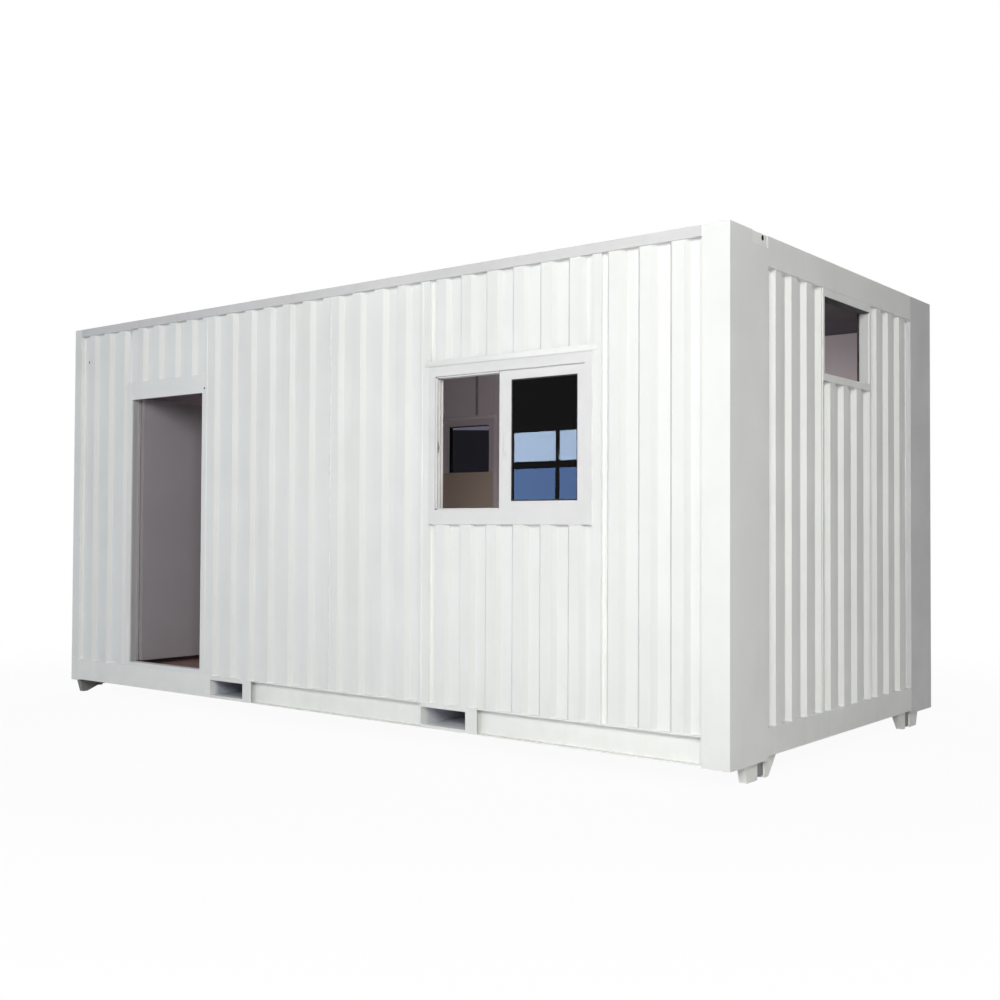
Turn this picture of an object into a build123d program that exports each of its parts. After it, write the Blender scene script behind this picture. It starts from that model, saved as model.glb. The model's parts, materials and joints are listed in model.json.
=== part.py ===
"""Shipping container cabin: a steel box with corrugated walls, a doorway, three windows and fork pockets.

Units are millimetres. X runs along the cabin (left to right), Y across it (front to back), Z up.
The origin is on the ground under the middle of the cabin. The door and the large window are in the
front wall (-Y) and the small high window is in the right wall (+X).
A place on a wall is given by how far it lies along the wall, from the wall's left or front corner,
and by its depth in from the wall's outer face.
"""
from build123d import *
import os

os.makedirs("parts", exist_ok=True)

# ---------------------------------------------------------------- overall size
LENGTH = 6058
WIDTH = 3048
BODY_HEIGHT = 2896
FOOT_HEIGHT = 100
BODY_BOTTOM = FOOT_HEIGHT
BODY_TOP = BODY_BOTTOM + BODY_HEIGHT

# ---------------------------------------------------------------- corner posts and rails
POST_PLATE = 6
POST_LIP = 40
CAP_WIDTH = 60
LEFT_POST_WIDTH = 90
RIGHT_POST_WIDTH = 170
FRONT_POST_DEPTH = 445
BACK_POST_DEPTH = 393

TOP_TUBE = 60
TOP_TUBE_WALL = 3
END_HEADER_HEIGHT = 167
END_RAIL_DEPTH = 60
END_RAIL_PLATE = 4
END_SILL_GAP = 20
END_SILL_TOP = BODY_BOTTOM + 175

RAIL_GAP = 10
RAIL_TOP = BODY_BOTTOM + 167
RAIL_DEPTH = 50
RAIL_PLATE = 5

# ---------------------------------------------------------------- fork pockets and floor
POCKET_SPACING = 2090
POCKET_WIDTH = 366
POCKET_HEIGHT = 110
POCKET_BOTTOM = BODY_BOTTOM + 30
POCKET_WALL = 5
POCKET_COLLAR = 85

DECK_THICKNESS = 20
DECK_DROP = 2
CROSSMEMBER_GAP = 20
CROSSMEMBER_WIDTH = 45
CROSSMEMBER_PLATE = 4
CROSSMEMBERS_PER_BAY = 3

# ---------------------------------------------------------------- corrugated sheets
SHEET = 2
SHEET_INSET = 10
RIDGE_DEPTH = 28
RIDGE_PITCH = 205
RIDGE_FLAT = 75
RIDGE_SLOPE = 27
NARROWEST_FLAT = 10
JOINED_FLAT = 14
SHEET_SEAM = 2
WALL_SHEET_WIDTH = 747
FIRST_RIDGE = 89
RIDGE_BESIDE_DOOR = 75
RIDGE_OVER_DOOR = 89
RIDGE_AFTER_DOOR = 193
FLAT_AFTER_DOOR = 90
RIDGE_BY_WINDOW = 30
RIDGE_BY_RIGHT_POST = 25
SEAM_FROM_WINDOW = 840

ROOF_DROP = 8
ROOF_RIDGE = 20
ROOF_SHEET = 2

# ---------------------------------------------------------------- lining
LINING_DEPTH = 85
LINING = 12
LINING_JOINT = 2
LINING_BOARD = 1220
CEILING_BOARD = 12

# ---------------------------------------------------------------- doorway, in the front wall
DOOR_LEFT = 787
DOOR_WIDTH = 877
DOOR_STEP = 200
DOOR_HEIGHT = 2072
DOOR_REBATE = 12
DOOR_STOP_DEPTH = 40
DOOR_LINER = 3
DOOR_STUD = 40
STUD_DEPTH = 50
STUD_WALL = 3
HEADER_HEIGHT = 123
SILL_WALL = 4

LEAF_THICKNESS = 40
LEAF_HINGE_GAP = 5
LEAF_LATCH_GAP = 7
LEAF_TOP_GAP = 5
LEAF_BOTTOM_GAP = 6
LEAF_OPEN = 90

HINGE_COUNT = 3
HINGE_END = 250
HINGE_RADIUS = 8
HINGE_PIN = 5
HINGE_RUNNING = 0.06
HINGE_HALF = 50
HINGE_END_GAP = 0.5
HINGE_FLAP = 3
HINGE_FLAP_WIDTH = 40

HANDLE_HEIGHT = 1000
HANDLE_BACKSET = 60
ROSE_RADIUS = 26
ROSE_THICKNESS = 8
NECK_RADIUS = 9
NECK_LENGTH = 42
LEVER_LENGTH = 125
LEVER_HEIGHT = 18
LEVER_THICKNESS = 12

# ---------------------------------------------------------------- front window, a pair of sliding sashes
WINDOW_FROM_RIGHT = 878
WINDOW_WIDTH = 1240
WINDOW_STEP = 1290
WINDOW_HEIGHT = 990
WINDOW_SIDE = 50
WINDOW_TOP_RAIL = 60
WINDOW_BOTTOM_RAIL = 89
WINDOW_FACE = 5
WINDOW_BACK = LINING_DEPTH
WINDOW_STUD = 60

SASH_STILE = 59
SASH_MEETING_STILE = 90
SASH_TOP_RAIL = 58
SASH_BOTTOM_RAIL = 51
SASH_THICKNESS = 20
SASH_WIDTH = 633
OUTER_SASH_DEPTH = 22
SASH_SPACING = 26
GLASS = 6

# ---------------------------------------------------------------- high window in the right wall
END_WINDOW_SIDE = 20
END_WINDOW_TOP_RAIL = 50
END_WINDOW_BOTTOM_RAIL = 43
END_WINDOW_HEIGHT = 561
END_WINDOW_FACE = 3

# ---------------------------------------------------------------- narrow window in the back wall
BACK_WINDOW_LEFT = 1489
BACK_WINDOW_WIDTH = 605
BACK_GLASS_DEPTH = 45

# ---------------------------------------------------------------- feet and lifting lugs
FOOT_INSET = 25
FOOT_THICKNESS = 45
RIGHT_FOOT_NEAR_TOP = (205, 363)
RIGHT_FOOT_NEAR_BASE = (240, 363)
RIGHT_FOOT_FAR_TOP = (450, 600)
RIGHT_FOOT_FAR_BASE = (450, 495)
LEFT_FOOT_TOP = (35, 205)
LEFT_FOOT_BASE = (65, 105)
LEFT_FOOT_HEEL = 40
LEFT_CLEAT_TOP = (230, 300)
LEFT_CLEAT_DROP = 45
LEFT_CLEAT_TIP_DROP = 30
LEFT_CLEAT_TAPER = 20

LUG_NOTCH_WIDTH = 188
LUG_NOTCH_HEIGHT = 69
LUG_PLATE = 12
LUG_OVERLAP = 20
LUG_HOLE_RADIUS = 15
LUG_HOLE_FROM_EDGE = 54
LUG_HOLE_DROP = 21

# ---------------------------------------------------------------- places that follow from these
CORNERS = {
    "front_left": (-1, -1),
    "front_right": (1, -1),
    "back_left": (-1, 1),
    "back_right": (1, 1),
}
LUG_CORNERS = ("front_left", "front_right")
SIDE_FLANGE = {"left": LEFT_POST_WIDTH, "right": RIGHT_POST_WIDTH}
END_FLANGE = {"front": FRONT_POST_DEPTH, "back": BACK_POST_DEPTH}
SIDE_START = LEFT_POST_WIDTH
SIDE_END = LENGTH - RIGHT_POST_WIDTH
END_START = FRONT_POST_DEPTH
END_END = WIDTH - BACK_POST_DEPTH
SHEET_OUTER = SHEET_INSET
SHEET_INNER = SHEET_INSET + RIDGE_DEPTH
SIDE_SHEET_TOP = BODY_TOP - TOP_TUBE
END_RAIL_BOTTOM = BODY_BOTTOM + END_SILL_GAP
END_SHEET_TOP = BODY_TOP - END_HEADER_HEIGHT
CEILING = END_SHEET_TOP
DECK_TOP = RAIL_TOP - DECK_DROP
DECK_BOTTOM = DECK_TOP - DECK_THICKNESS

DOOR_RIGHT = DOOR_LEFT + DOOR_WIDTH
DOOR_SILL = BODY_BOTTOM + DOOR_STEP
DOOR_HEAD = DOOR_SILL + DOOR_HEIGHT
DOOR_FRAME_LEFT = DOOR_LEFT - DOOR_REBATE - DOOR_LINER
DOOR_FRAME_RIGHT = DOOR_RIGHT + DOOR_REBATE + DOOR_LINER
DOOR_FRAME_TOP = DOOR_HEAD + DOOR_REBATE + DOOR_LINER
DOOR_BAY = (DOOR_FRAME_LEFT - DOOR_STUD, DOOR_FRAME_RIGHT + DOOR_STUD)
HEADER_TOP = DOOR_FRAME_TOP + HEADER_HEIGHT

WINDOW_RIGHT = LENGTH - WINDOW_FROM_RIGHT
WINDOW_LEFT = WINDOW_RIGHT - WINDOW_WIDTH
WINDOW_SILL = BODY_BOTTOM + WINDOW_STEP
WINDOW_TOP = WINDOW_SILL + WINDOW_HEIGHT
WINDOW_BAY = (WINDOW_LEFT - WINDOW_STUD, WINDOW_RIGHT + WINDOW_STUD)
MIDDLE_SEAM = WINDOW_BAY[0] - SEAM_FROM_WINDOW
RIDGE_WIDTH = RIDGE_FLAT + 2 * RIDGE_SLOPE
RIDGE_AFTER_JOINED = RIDGE_PITCH - RIDGE_SLOPE

END_WINDOW_LEFT = END_START + WALL_SHEET_WIDTH
END_WINDOW_RIGHT = END_WINDOW_LEFT + WALL_SHEET_WIDTH
END_WINDOW_TOP = END_SHEET_TOP
END_WINDOW_SILL = END_WINDOW_TOP - END_WINDOW_HEIGHT

BACK_WINDOW_RIGHT = BACK_WINDOW_LEFT + BACK_WINDOW_WIDTH
BACK_BAY = (BACK_WINDOW_LEFT - WINDOW_STUD, BACK_WINDOW_RIGHT + WINDOW_STUD)

POCKET_CENTRES = (LENGTH / 2 - POCKET_SPACING / 2, LENGTH / 2 + POCKET_SPACING / 2)


# ---------------------------------------------------------------- helpers
def on_wall(side, along, depth):
    """Plan position of a point that lies along a wall, at a depth in from its outer face."""
    places = {
        "front": (along - LENGTH / 2, depth - WIDTH / 2),
        "back": (along - LENGTH / 2, WIDTH / 2 - depth),
        "left": (depth - LENGTH / 2, along - WIDTH / 2),
        "right": (LENGTH / 2 - depth, along - WIDTH / 2),
    }
    return places[side]


def block(side, along, depth, height, mode=Mode.ADD):
    """A box in the current part, between two values each of along, depth and height."""
    x0, y0 = on_wall(side, along[0], depth[0])
    x1, y1 = on_wall(side, along[1], depth[1])
    with Locations(((x0 + x1) / 2, (y0 + y1) / 2, (height[0] + height[1]) / 2)):
        Box(abs(x1 - x0), abs(y1 - y0), height[1] - height[0], mode=mode)


def upright_tube(side, along, depth, height, wall):
    """A hollow box section that stands upright in a wall."""
    block(side, along, depth, height)
    inside_along = (along[0] + wall, along[1] - wall)
    inside_depth = (depth[0] + wall, depth[1] - wall)
    block(side, inside_along, inside_depth, height, mode=Mode.SUBTRACT)


def level_tube(side, along, depth, height, wall):
    """A hollow box section that lies level along a wall."""
    block(side, along, depth, height)
    inside_depth = (depth[0] + wall, depth[1] - wall)
    inside_height = (height[0] + wall, height[1] - wall)
    block(side, along, inside_depth, inside_height, mode=Mode.SUBTRACT)


def ring(side, along, depth, height, sides, bottom, top):
    """A rectangular frame around an opening."""
    block(side, along, depth, height)
    inside_along = (along[0] + sides[0], along[1] - sides[1])
    inside_height = (height[0] + bottom, height[1] - top)
    block(side, inside_along, depth, inside_height, mode=Mode.SUBTRACT)


def ridge_profile(left, right, first, joined):
    """Outer face of a corrugated sheet, as points along the wall and their depths.

    `joined` is how much of the flat of the ridge to its left the sheet carries, if any.
    A ridge that meets the right edge is cut off there, on its flat.
    """
    points = [(left, SHEET_INNER)]
    if joined:
        points = [(left, SHEET_OUTER), (left + joined, SHEET_OUTER)]
        points.append((left + joined + RIDGE_SLOPE, SHEET_INNER))
    start = left + first
    while start + RIDGE_SLOPE + NARROWEST_FLAT <= right:
        points.append((start, SHEET_INNER))
        points.append((start + RIDGE_SLOPE, SHEET_OUTER))
        if start + RIDGE_WIDTH > right:
            points.append((right, SHEET_OUTER))
            return points
        points.append((start + RIDGE_WIDTH - RIDGE_SLOPE, SHEET_OUTER))
        points.append((start + RIDGE_WIDTH, SHEET_INNER))
        start += RIDGE_PITCH
    points.append((right, SHEET_INNER))
    return points


def corrugated_sheet(side, along, height, first, joined=0):
    """One wall sheet, with upright ridges from `first` in from its left or front edge.

    Tells whether its right edge is on a ridge.
    """
    face = ridge_profile(along[0], along[1], first, joined)
    back = [(place, depth + SHEET) for place, depth in reversed(face)]
    with BuildSketch(Plane.XY.offset(height[0])) as section:
        with BuildLine():
            Polyline(*[on_wall(side, place, depth) for place, depth in face + back], close=True)
        make_face()
    extrude(section.sketch, amount=height[1] - height[0], dir=(0, 0, 1))
    return face[-1][1] == SHEET_OUTER


def sheet_run(side, along, height):
    """Sheets of the usual width side by side, with a seam between them, the last one cut to fit."""
    left = along[0]
    joined = 0
    while left < along[1]:
        right = min(left + WALL_SHEET_WIDTH, along[1])
        on_ridge = corrugated_sheet(side, (left, right), height, FIRST_RIDGE, joined)
        joined = JOINED_FLAT if on_ridge else 0
        left = right + SHEET_SEAM


def lining_boards(side, along, height):
    """Lining boards side by side, with a joint between them."""
    count = max(1, round((along[1] - along[0]) / LINING_BOARD))
    width = (along[1] - along[0]) / count
    for index in range(count):
        left = along[0] + index * width + (LINING_JOINT if index else 0)
        depth = (LINING_DEPTH - LINING, LINING_DEPTH)
        block(side, (left, along[0] + (index + 1) * width), depth, height)


def save(part, name):
    """Label a finished piece and write its file."""
    part.label = name
    export_step(part, f"parts/{name}.step")


# ---------------------------------------------------------------- corner posts
def corner_point(corner, from_end, from_side):
    """Plan position measured in from a corner: from the end wall's face and the long wall's face."""
    sign_x, sign_y = CORNERS[corner]
    return (sign_x * (LENGTH / 2 - from_end), sign_y * (WIDTH / 2 - from_side))


def corner_face(corner, points, bottom, top, mode=Mode.ADD):
    """Raise a closed plan outline, measured in from a corner, between two heights."""
    with BuildSketch(Plane.XY.offset(bottom)) as outline:
        with BuildLine():
            Polyline(*[corner_point(corner, u, v) for u, v in points], close=True)
        make_face()
    extrude(outline.sketch, amount=top - bottom, dir=(0, 0, 1), mode=mode)


def rectangle(from_end, from_side):
    """Plan outline of a rectangle, from its range in each direction."""
    return [
        (from_end[0], from_side[0]),
        (from_end[1], from_side[0]),
        (from_end[1], from_side[1]),
        (from_end[0], from_side[1]),
    ]


for corner in CORNERS:
    long_side, end_side = corner.split("_")
    side_flange = SIDE_FLANGE[end_side]
    end_flange = END_FLANGE[long_side]
    folded = [
        (0, 0),
        (side_flange, 0),
        (side_flange, POST_LIP),
        (side_flange - POST_PLATE, POST_LIP),
        (side_flange - POST_PLATE, POST_PLATE),
        (POST_PLATE, POST_PLATE),
        (POST_PLATE, end_flange - POST_PLATE),
        (POST_LIP, end_flange - POST_PLATE),
        (POST_LIP, end_flange),
        (0, end_flange),
    ]
    cap = [
        (0, 0),
        (side_flange, 0),
        (side_flange, CAP_WIDTH),
        (CAP_WIDTH, CAP_WIDTH),
        (CAP_WIDTH, end_flange),
        (0, end_flange),
    ]
    notch = rectangle((0, CAP_WIDTH), (end_flange - LUG_NOTCH_WIDTH, end_flange))
    with BuildPart() as corner_post:
        corner_face(corner, folded, BODY_BOTTOM, BODY_TOP)
        corner_face(corner, cap, BODY_BOTTOM, BODY_BOTTOM + POST_PLATE)
        corner_face(corner, cap, BODY_TOP - POST_PLATE, BODY_TOP)
        if corner in LUG_CORNERS:
            corner_face(corner, notch, BODY_TOP - LUG_NOTCH_HEIGHT, BODY_TOP, mode=Mode.SUBTRACT)
    save(corner_post.part, f"corner_post_{corner}")

# ---------------------------------------------------------------- lifting lugs, in the front posts' notches
with BuildPart() as lifting_lugs:
    for corner in LUG_CORNERS:
        plate_along = (FRONT_POST_DEPTH - LUG_NOTCH_WIDTH, FRONT_POST_DEPTH - POST_PLATE)
        plate = rectangle((POST_PLATE, POST_PLATE + LUG_PLATE), plate_along)
        corner_face(corner, plate, BODY_TOP - LUG_NOTCH_HEIGHT - LUG_OVERLAP, BODY_TOP)
        hole_place = (POST_PLATE + LUG_PLATE / 2, FRONT_POST_DEPTH - LUG_HOLE_FROM_EDGE)
        hole_x, hole_y = corner_point(corner, *hole_place)
        with Locations(Location((hole_x, hole_y, BODY_TOP - LUG_HOLE_DROP), (0, 90, 0))):
            Cylinder(LUG_HOLE_RADIUS, 2 * LUG_PLATE, mode=Mode.SUBTRACT)
save(lifting_lugs.part, "lifting_lugs")

# ---------------------------------------------------------------- feet, tapered blocks under the end walls
def foot_block(corner, outline):
    """A block under an end wall, from its outline as distances from the long wall's face and heights."""
    sign_x, sign_y = CORNERS[corner]
    outer_x = sign_x * (LENGTH / 2 - FOOT_INSET)
    with BuildSketch(Plane(origin=(outer_x, 0, 0), x_dir=(0, 1, 0), z_dir=(1, 0, 0))) as face:
        with BuildLine():
            Polyline(*[(sign_y * (WIDTH / 2 - v), z) for v, z in outline], close=True)
        make_face()
    extrude(face.sketch, amount=FOOT_THICKNESS, dir=(-sign_x, 0, 0))


def trapezium(top, base, height):
    """A block's outline, from its extent along its top at a height and along its base on the ground."""
    return [(top[0], height), (top[1], height), (base[1], 0), (base[0], 0)]


left_block = [
    (LEFT_FOOT_TOP[0], BODY_BOTTOM),
    (LEFT_FOOT_TOP[1], BODY_BOTTOM),
    (LEFT_FOOT_TOP[1], LEFT_FOOT_HEEL),
    (LEFT_FOOT_BASE[1], 0),
    (LEFT_FOOT_BASE[0], 0),
]
left_cleat = [
    (LEFT_CLEAT_TOP[0], BODY_BOTTOM),
    (LEFT_CLEAT_TOP[1], BODY_BOTTOM),
    (LEFT_CLEAT_TOP[1] - LEFT_CLEAT_TAPER, BODY_BOTTOM - LEFT_CLEAT_TIP_DROP),
    (LEFT_CLEAT_TOP[0], BODY_BOTTOM - LEFT_CLEAT_DROP),
]
with BuildPart() as corner_feet:
    for corner in ("front_right", "back_right"):
        foot_block(corner, trapezium(RIGHT_FOOT_NEAR_TOP, RIGHT_FOOT_NEAR_BASE, BODY_BOTTOM))
        foot_block(corner, trapezium(RIGHT_FOOT_FAR_TOP, RIGHT_FOOT_FAR_BASE, END_RAIL_BOTTOM))
    for corner in ("front_left", "back_left"):
        foot_block(corner, left_block)
        foot_block(corner, left_cleat)
save(corner_feet.part, "corner_feet")

# ---------------------------------------------------------------- top rails
for side in ("front", "back"):
    with BuildPart() as top_side_rail:
        level_tube(side, (SIDE_START, SIDE_END), (0, TOP_TUBE), (SIDE_SHEET_TOP, BODY_TOP), TOP_TUBE_WALL)
    save(top_side_rail.part, f"top_rail_{side}")

for side in ("left", "right"):
    with BuildPart() as top_end_rail:
        block(side, (END_START, END_END), (0, END_RAIL_DEPTH), (END_SHEET_TOP, BODY_TOP))
        hollow = (END_SHEET_TOP + END_RAIL_PLATE, BODY_TOP - END_RAIL_PLATE)
        block(side, (END_START, END_END), (END_RAIL_PLATE, END_RAIL_DEPTH), hollow, mode=Mode.SUBTRACT)
    save(top_end_rail.part, f"top_rail_{side}")

# ---------------------------------------------------------------- bottom rails
RAIL_HEIGHT = (BODY_BOTTOM + RAIL_GAP, RAIL_TOP)


def rail_channel(side, along):
    """A length of bottom side rail: a channel whose open side faces out."""
    block(side, along, (0, RAIL_DEPTH), RAIL_HEIGHT)
    hollow = (RAIL_HEIGHT[0] + RAIL_PLATE, RAIL_HEIGHT[1] - RAIL_PLATE)
    block(side, along, (0, RAIL_DEPTH - RAIL_PLATE), hollow, mode=Mode.SUBTRACT)


def pocket_sides(centre):
    """The outsides of a fork pocket's tube, along the wall."""
    half = POCKET_WIDTH / 2 + POCKET_WALL
    return (centre - half, centre + half)


for side in ("front", "back"):
    left_tube = pocket_sides(POCKET_CENTRES[0])
    right_tube = pocket_sides(POCKET_CENTRES[1])
    with BuildPart() as bottom_side_rail:
        rail_channel(side, (SIDE_START, left_tube[0]))
        block(side, (SIDE_START, left_tube[0]), (0, RAIL_PLATE), RAIL_HEIGHT)
        rail_channel(side, (left_tube[1] + POCKET_COLLAR, right_tube[0]))
        rail_channel(side, (right_tube[1] + POCKET_COLLAR, SIDE_END))
    save(bottom_side_rail.part, f"bottom_rail_{side}")

for side in ("left", "right"):
    with BuildPart() as bottom_end_rail:
        height = (END_RAIL_BOTTOM, END_SILL_TOP)
        hollow = (height[0] + END_RAIL_PLATE, height[1] - END_RAIL_PLATE)
        block(side, (END_START, END_END), (0, END_RAIL_DEPTH), height)
        block(side, (END_START, END_END), (END_RAIL_PLATE, END_RAIL_DEPTH), hollow, mode=Mode.SUBTRACT)
    save(bottom_end_rail.part, f"bottom_rail_{side}")

# ---------------------------------------------------------------- fork pockets, tubes across the cabin
for name, centre in zip(("left", "right"), POCKET_CENTRES):
    tube = pocket_sides(centre)
    pocket = (centre - POCKET_WIDTH / 2, centre + POCKET_WIDTH / 2)
    pocket_height = (POCKET_BOTTOM, POCKET_BOTTOM + POCKET_HEIGHT)
    tube_height = (POCKET_BOTTOM - POCKET_WALL, POCKET_BOTTOM + POCKET_HEIGHT + POCKET_WALL)
    with BuildPart() as fork_pocket:
        block("front", tube, (0, WIDTH), tube_height)
        for side in ("front", "back"):
            rail_channel(side, (tube[0], tube[1] + POCKET_COLLAR))
            block(side, (tube[0], tube[1] + POCKET_COLLAR), (0, RAIL_PLATE), RAIL_HEIGHT)
            block(side, tube, (0, RAIL_DEPTH), tube_height)
        block("front", pocket, (0, WIDTH), pocket_height, mode=Mode.SUBTRACT)
    save(fork_pocket.part, f"fork_pocket_{name}")

# ---------------------------------------------------------------- floor
with BuildPart() as floor_crossmembers:
    bays = (
        (END_RAIL_DEPTH, pocket_sides(POCKET_CENTRES[0])[0]),
        (pocket_sides(POCKET_CENTRES[0])[1], pocket_sides(POCKET_CENTRES[1])[0]),
        (pocket_sides(POCKET_CENTRES[1])[1], LENGTH - END_RAIL_DEPTH),
    )
    member_height = (BODY_BOTTOM + CROSSMEMBER_GAP, DECK_BOTTOM)
    member_hollow = (member_height[0] + CROSSMEMBER_PLATE, member_height[1] - CROSSMEMBER_PLATE)
    across = (RAIL_DEPTH, WIDTH - RAIL_DEPTH)
    for bay_start, bay_end in bays:
        step = (bay_end - bay_start) / CROSSMEMBERS_PER_BAY
        for index in range(CROSSMEMBERS_PER_BAY):
            web = bay_start + (index + 0.5) * step - CROSSMEMBER_WIDTH / 2
            block("front", (web, web + CROSSMEMBER_WIDTH), across, member_height)
            inside = (web + CROSSMEMBER_PLATE, web + CROSSMEMBER_WIDTH)
            block("front", inside, across, member_hollow, mode=Mode.SUBTRACT)
save(floor_crossmembers.part, "floor_crossmembers")

with BuildPart() as floor_deck:
    deck_along = (END_RAIL_DEPTH, LENGTH - END_RAIL_DEPTH)
    block("front", deck_along, (RAIL_DEPTH, WIDTH - RAIL_DEPTH), (DECK_BOTTOM, DECK_TOP))
save(floor_deck.part, "floor_deck")

# ---------------------------------------------------------------- roof, with ridges across the cabin
with BuildPart() as roof_sheet:
    roof_length = LENGTH - 2 * END_RAIL_DEPTH
    roof_top = BODY_TOP - ROOF_DROP
    roof_low = roof_top - ROOF_RIDGE
    ridge_count = int(roof_length // RIDGE_PITCH)
    margin = (roof_length - ridge_count * RIDGE_PITCH + RIDGE_PITCH - RIDGE_FLAT - 2 * RIDGE_SLOPE) / 2
    roof_line = [(-roof_length / 2, roof_low)]
    for index in range(ridge_count):
        start = -roof_length / 2 + margin + index * RIDGE_PITCH
        roof_line.append((start, roof_low))
        roof_line.append((start + RIDGE_SLOPE, roof_top))
        roof_line.append((start + RIDGE_SLOPE + RIDGE_FLAT, roof_top))
        roof_line.append((start + 2 * RIDGE_SLOPE + RIDGE_FLAT, roof_low))
    roof_line.append((roof_length / 2, roof_low))
    underside = [(x, z - ROOF_SHEET) for x, z in reversed(roof_line)]
    with BuildSketch(Plane.XZ):
        with BuildLine():
            Polyline(*(roof_line + underside), close=True)
        make_face()
    extrude(amount=WIDTH / 2 - TOP_TUBE, both=True)
save(roof_sheet.part, "roof_sheet")

with BuildPart() as ceiling_lining:
    ceiling_edge = LINING_DEPTH - LINING
    ceiling_along = (ceiling_edge, LENGTH - ceiling_edge)
    ceiling_across = (ceiling_edge, WIDTH - ceiling_edge)
    block("front", ceiling_along, ceiling_across, (CEILING, CEILING + CEILING_BOARD))
save(ceiling_lining.part, "ceiling_lining")

# ---------------------------------------------------------------- front wall sheets
FULL_HEIGHT = (RAIL_TOP, SIDE_SHEET_TOP)

with BuildPart() as front_sheet_left:
    corrugated_sheet("front", (SIDE_START, DOOR_BAY[0]), FULL_HEIGHT, RIDGE_BESIDE_DOOR)
save(front_sheet_left.part, "front_sheet_left")

with BuildPart() as front_sheet_over_door:
    corrugated_sheet("front", DOOR_BAY, (HEADER_TOP, SIDE_SHEET_TOP), RIDGE_OVER_DOOR)
save(front_sheet_over_door.part, "front_sheet_over_door")

with BuildPart() as front_sheets_middle:
    by_door = (DOOR_BAY[1], MIDDLE_SEAM)
    by_window = (MIDDLE_SEAM + SHEET_SEAM, WINDOW_BAY[0])
    corrugated_sheet("front", by_door, FULL_HEIGHT, RIDGE_AFTER_DOOR, FLAT_AFTER_DOOR)
    corrugated_sheet("front", by_window, FULL_HEIGHT, RIDGE_AFTER_JOINED, RIDGE_FLAT)
save(front_sheets_middle.part, "front_sheets_middle")

with BuildPart() as front_sheets_window:
    window_along = (WINDOW_LEFT, WINDOW_RIGHT)
    corrugated_sheet("front", window_along, (RAIL_TOP, WINDOW_SILL), RIDGE_BY_WINDOW)
    corrugated_sheet("front", window_along, (WINDOW_TOP, SIDE_SHEET_TOP), RIDGE_BY_WINDOW)
save(front_sheets_window.part, "front_sheets_window")

with BuildPart() as front_sheet_right:
    corrugated_sheet("front", (WINDOW_BAY[1], SIDE_END), FULL_HEIGHT, RIDGE_BY_RIGHT_POST)
save(front_sheet_right.part, "front_sheet_right")

# ---------------------------------------------------------------- back wall sheets
with BuildPart() as back_sheets:
    sheet_run("back", (SIDE_START, BACK_BAY[0]), FULL_HEIGHT)
    sheet_run("back", (BACK_BAY[1], SIDE_END), FULL_HEIGHT)
    back_window_along = (BACK_WINDOW_LEFT, BACK_WINDOW_RIGHT)
    corrugated_sheet("back", back_window_along, (RAIL_TOP, WINDOW_SILL), RIDGE_BY_WINDOW)
    corrugated_sheet("back", back_window_along, (WINDOW_TOP, SIDE_SHEET_TOP), RIDGE_BY_WINDOW)
save(back_sheets.part, "back_sheets")

# ---------------------------------------------------------------- end wall sheets
END_HEIGHT = (END_SILL_TOP, END_SHEET_TOP)

with BuildPart() as left_sheets:
    sheet_run("left", (END_START, END_END), END_HEIGHT)
save(left_sheets.part, "left_sheets")

with BuildPart() as right_sheets:
    corrugated_sheet("right", (END_START, END_WINDOW_LEFT), END_HEIGHT, FIRST_RIDGE)
    corrugated_sheet("right", (END_WINDOW_RIGHT, END_END), END_HEIGHT, FIRST_RIDGE, JOINED_FLAT)
save(right_sheets.part, "right_sheets")

with BuildPart() as right_sheets_window:
    bay = (END_WINDOW_LEFT + SHEET_SEAM, END_WINDOW_RIGHT - SHEET_SEAM)
    corrugated_sheet("right", bay, (END_SILL_TOP, END_WINDOW_SILL), FIRST_RIDGE, JOINED_FLAT)
save(right_sheets_window.part, "right_sheets_window")

# ---------------------------------------------------------------- studs and header around the openings
STUD = (SHEET_OUTER, SHEET_OUTER + STUD_DEPTH)

with BuildPart() as door_studs:
    stud_height = (RAIL_TOP, DOOR_FRAME_TOP)
    upright_tube("front", (DOOR_BAY[0], DOOR_FRAME_LEFT), STUD, stud_height, STUD_WALL)
    upright_tube("front", (DOOR_FRAME_RIGHT, DOOR_BAY[1]), STUD, stud_height, STUD_WALL)
save(door_studs.part, "door_studs")

with BuildPart() as door_header:
    level_tube("front", DOOR_BAY, STUD, (DOOR_FRAME_TOP, HEADER_TOP), STUD_WALL)
save(door_header.part, "door_header")

with BuildPart() as window_studs:
    for side, bay, left, right in (
        ("front", WINDOW_BAY, WINDOW_LEFT, WINDOW_RIGHT),
        ("back", BACK_BAY, BACK_WINDOW_LEFT, BACK_WINDOW_RIGHT),
    ):
        upright_tube(side, (bay[0], left), STUD, FULL_HEIGHT, STUD_WALL)
        upright_tube(side, (right, bay[1]), STUD, FULL_HEIGHT, STUD_WALL)
save(window_studs.part, "window_studs")

# ---------------------------------------------------------------- door frame and sill
with BuildPart() as door_sill:
    sill_height = (RAIL_TOP, DOOR_SILL)
    sill_along = (DOOR_FRAME_LEFT, DOOR_FRAME_RIGHT)
    level_tube("front", sill_along, (SHEET_OUTER, LINING_DEPTH), sill_height, SILL_WALL)
save(door_sill.part, "door_sill")

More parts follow.
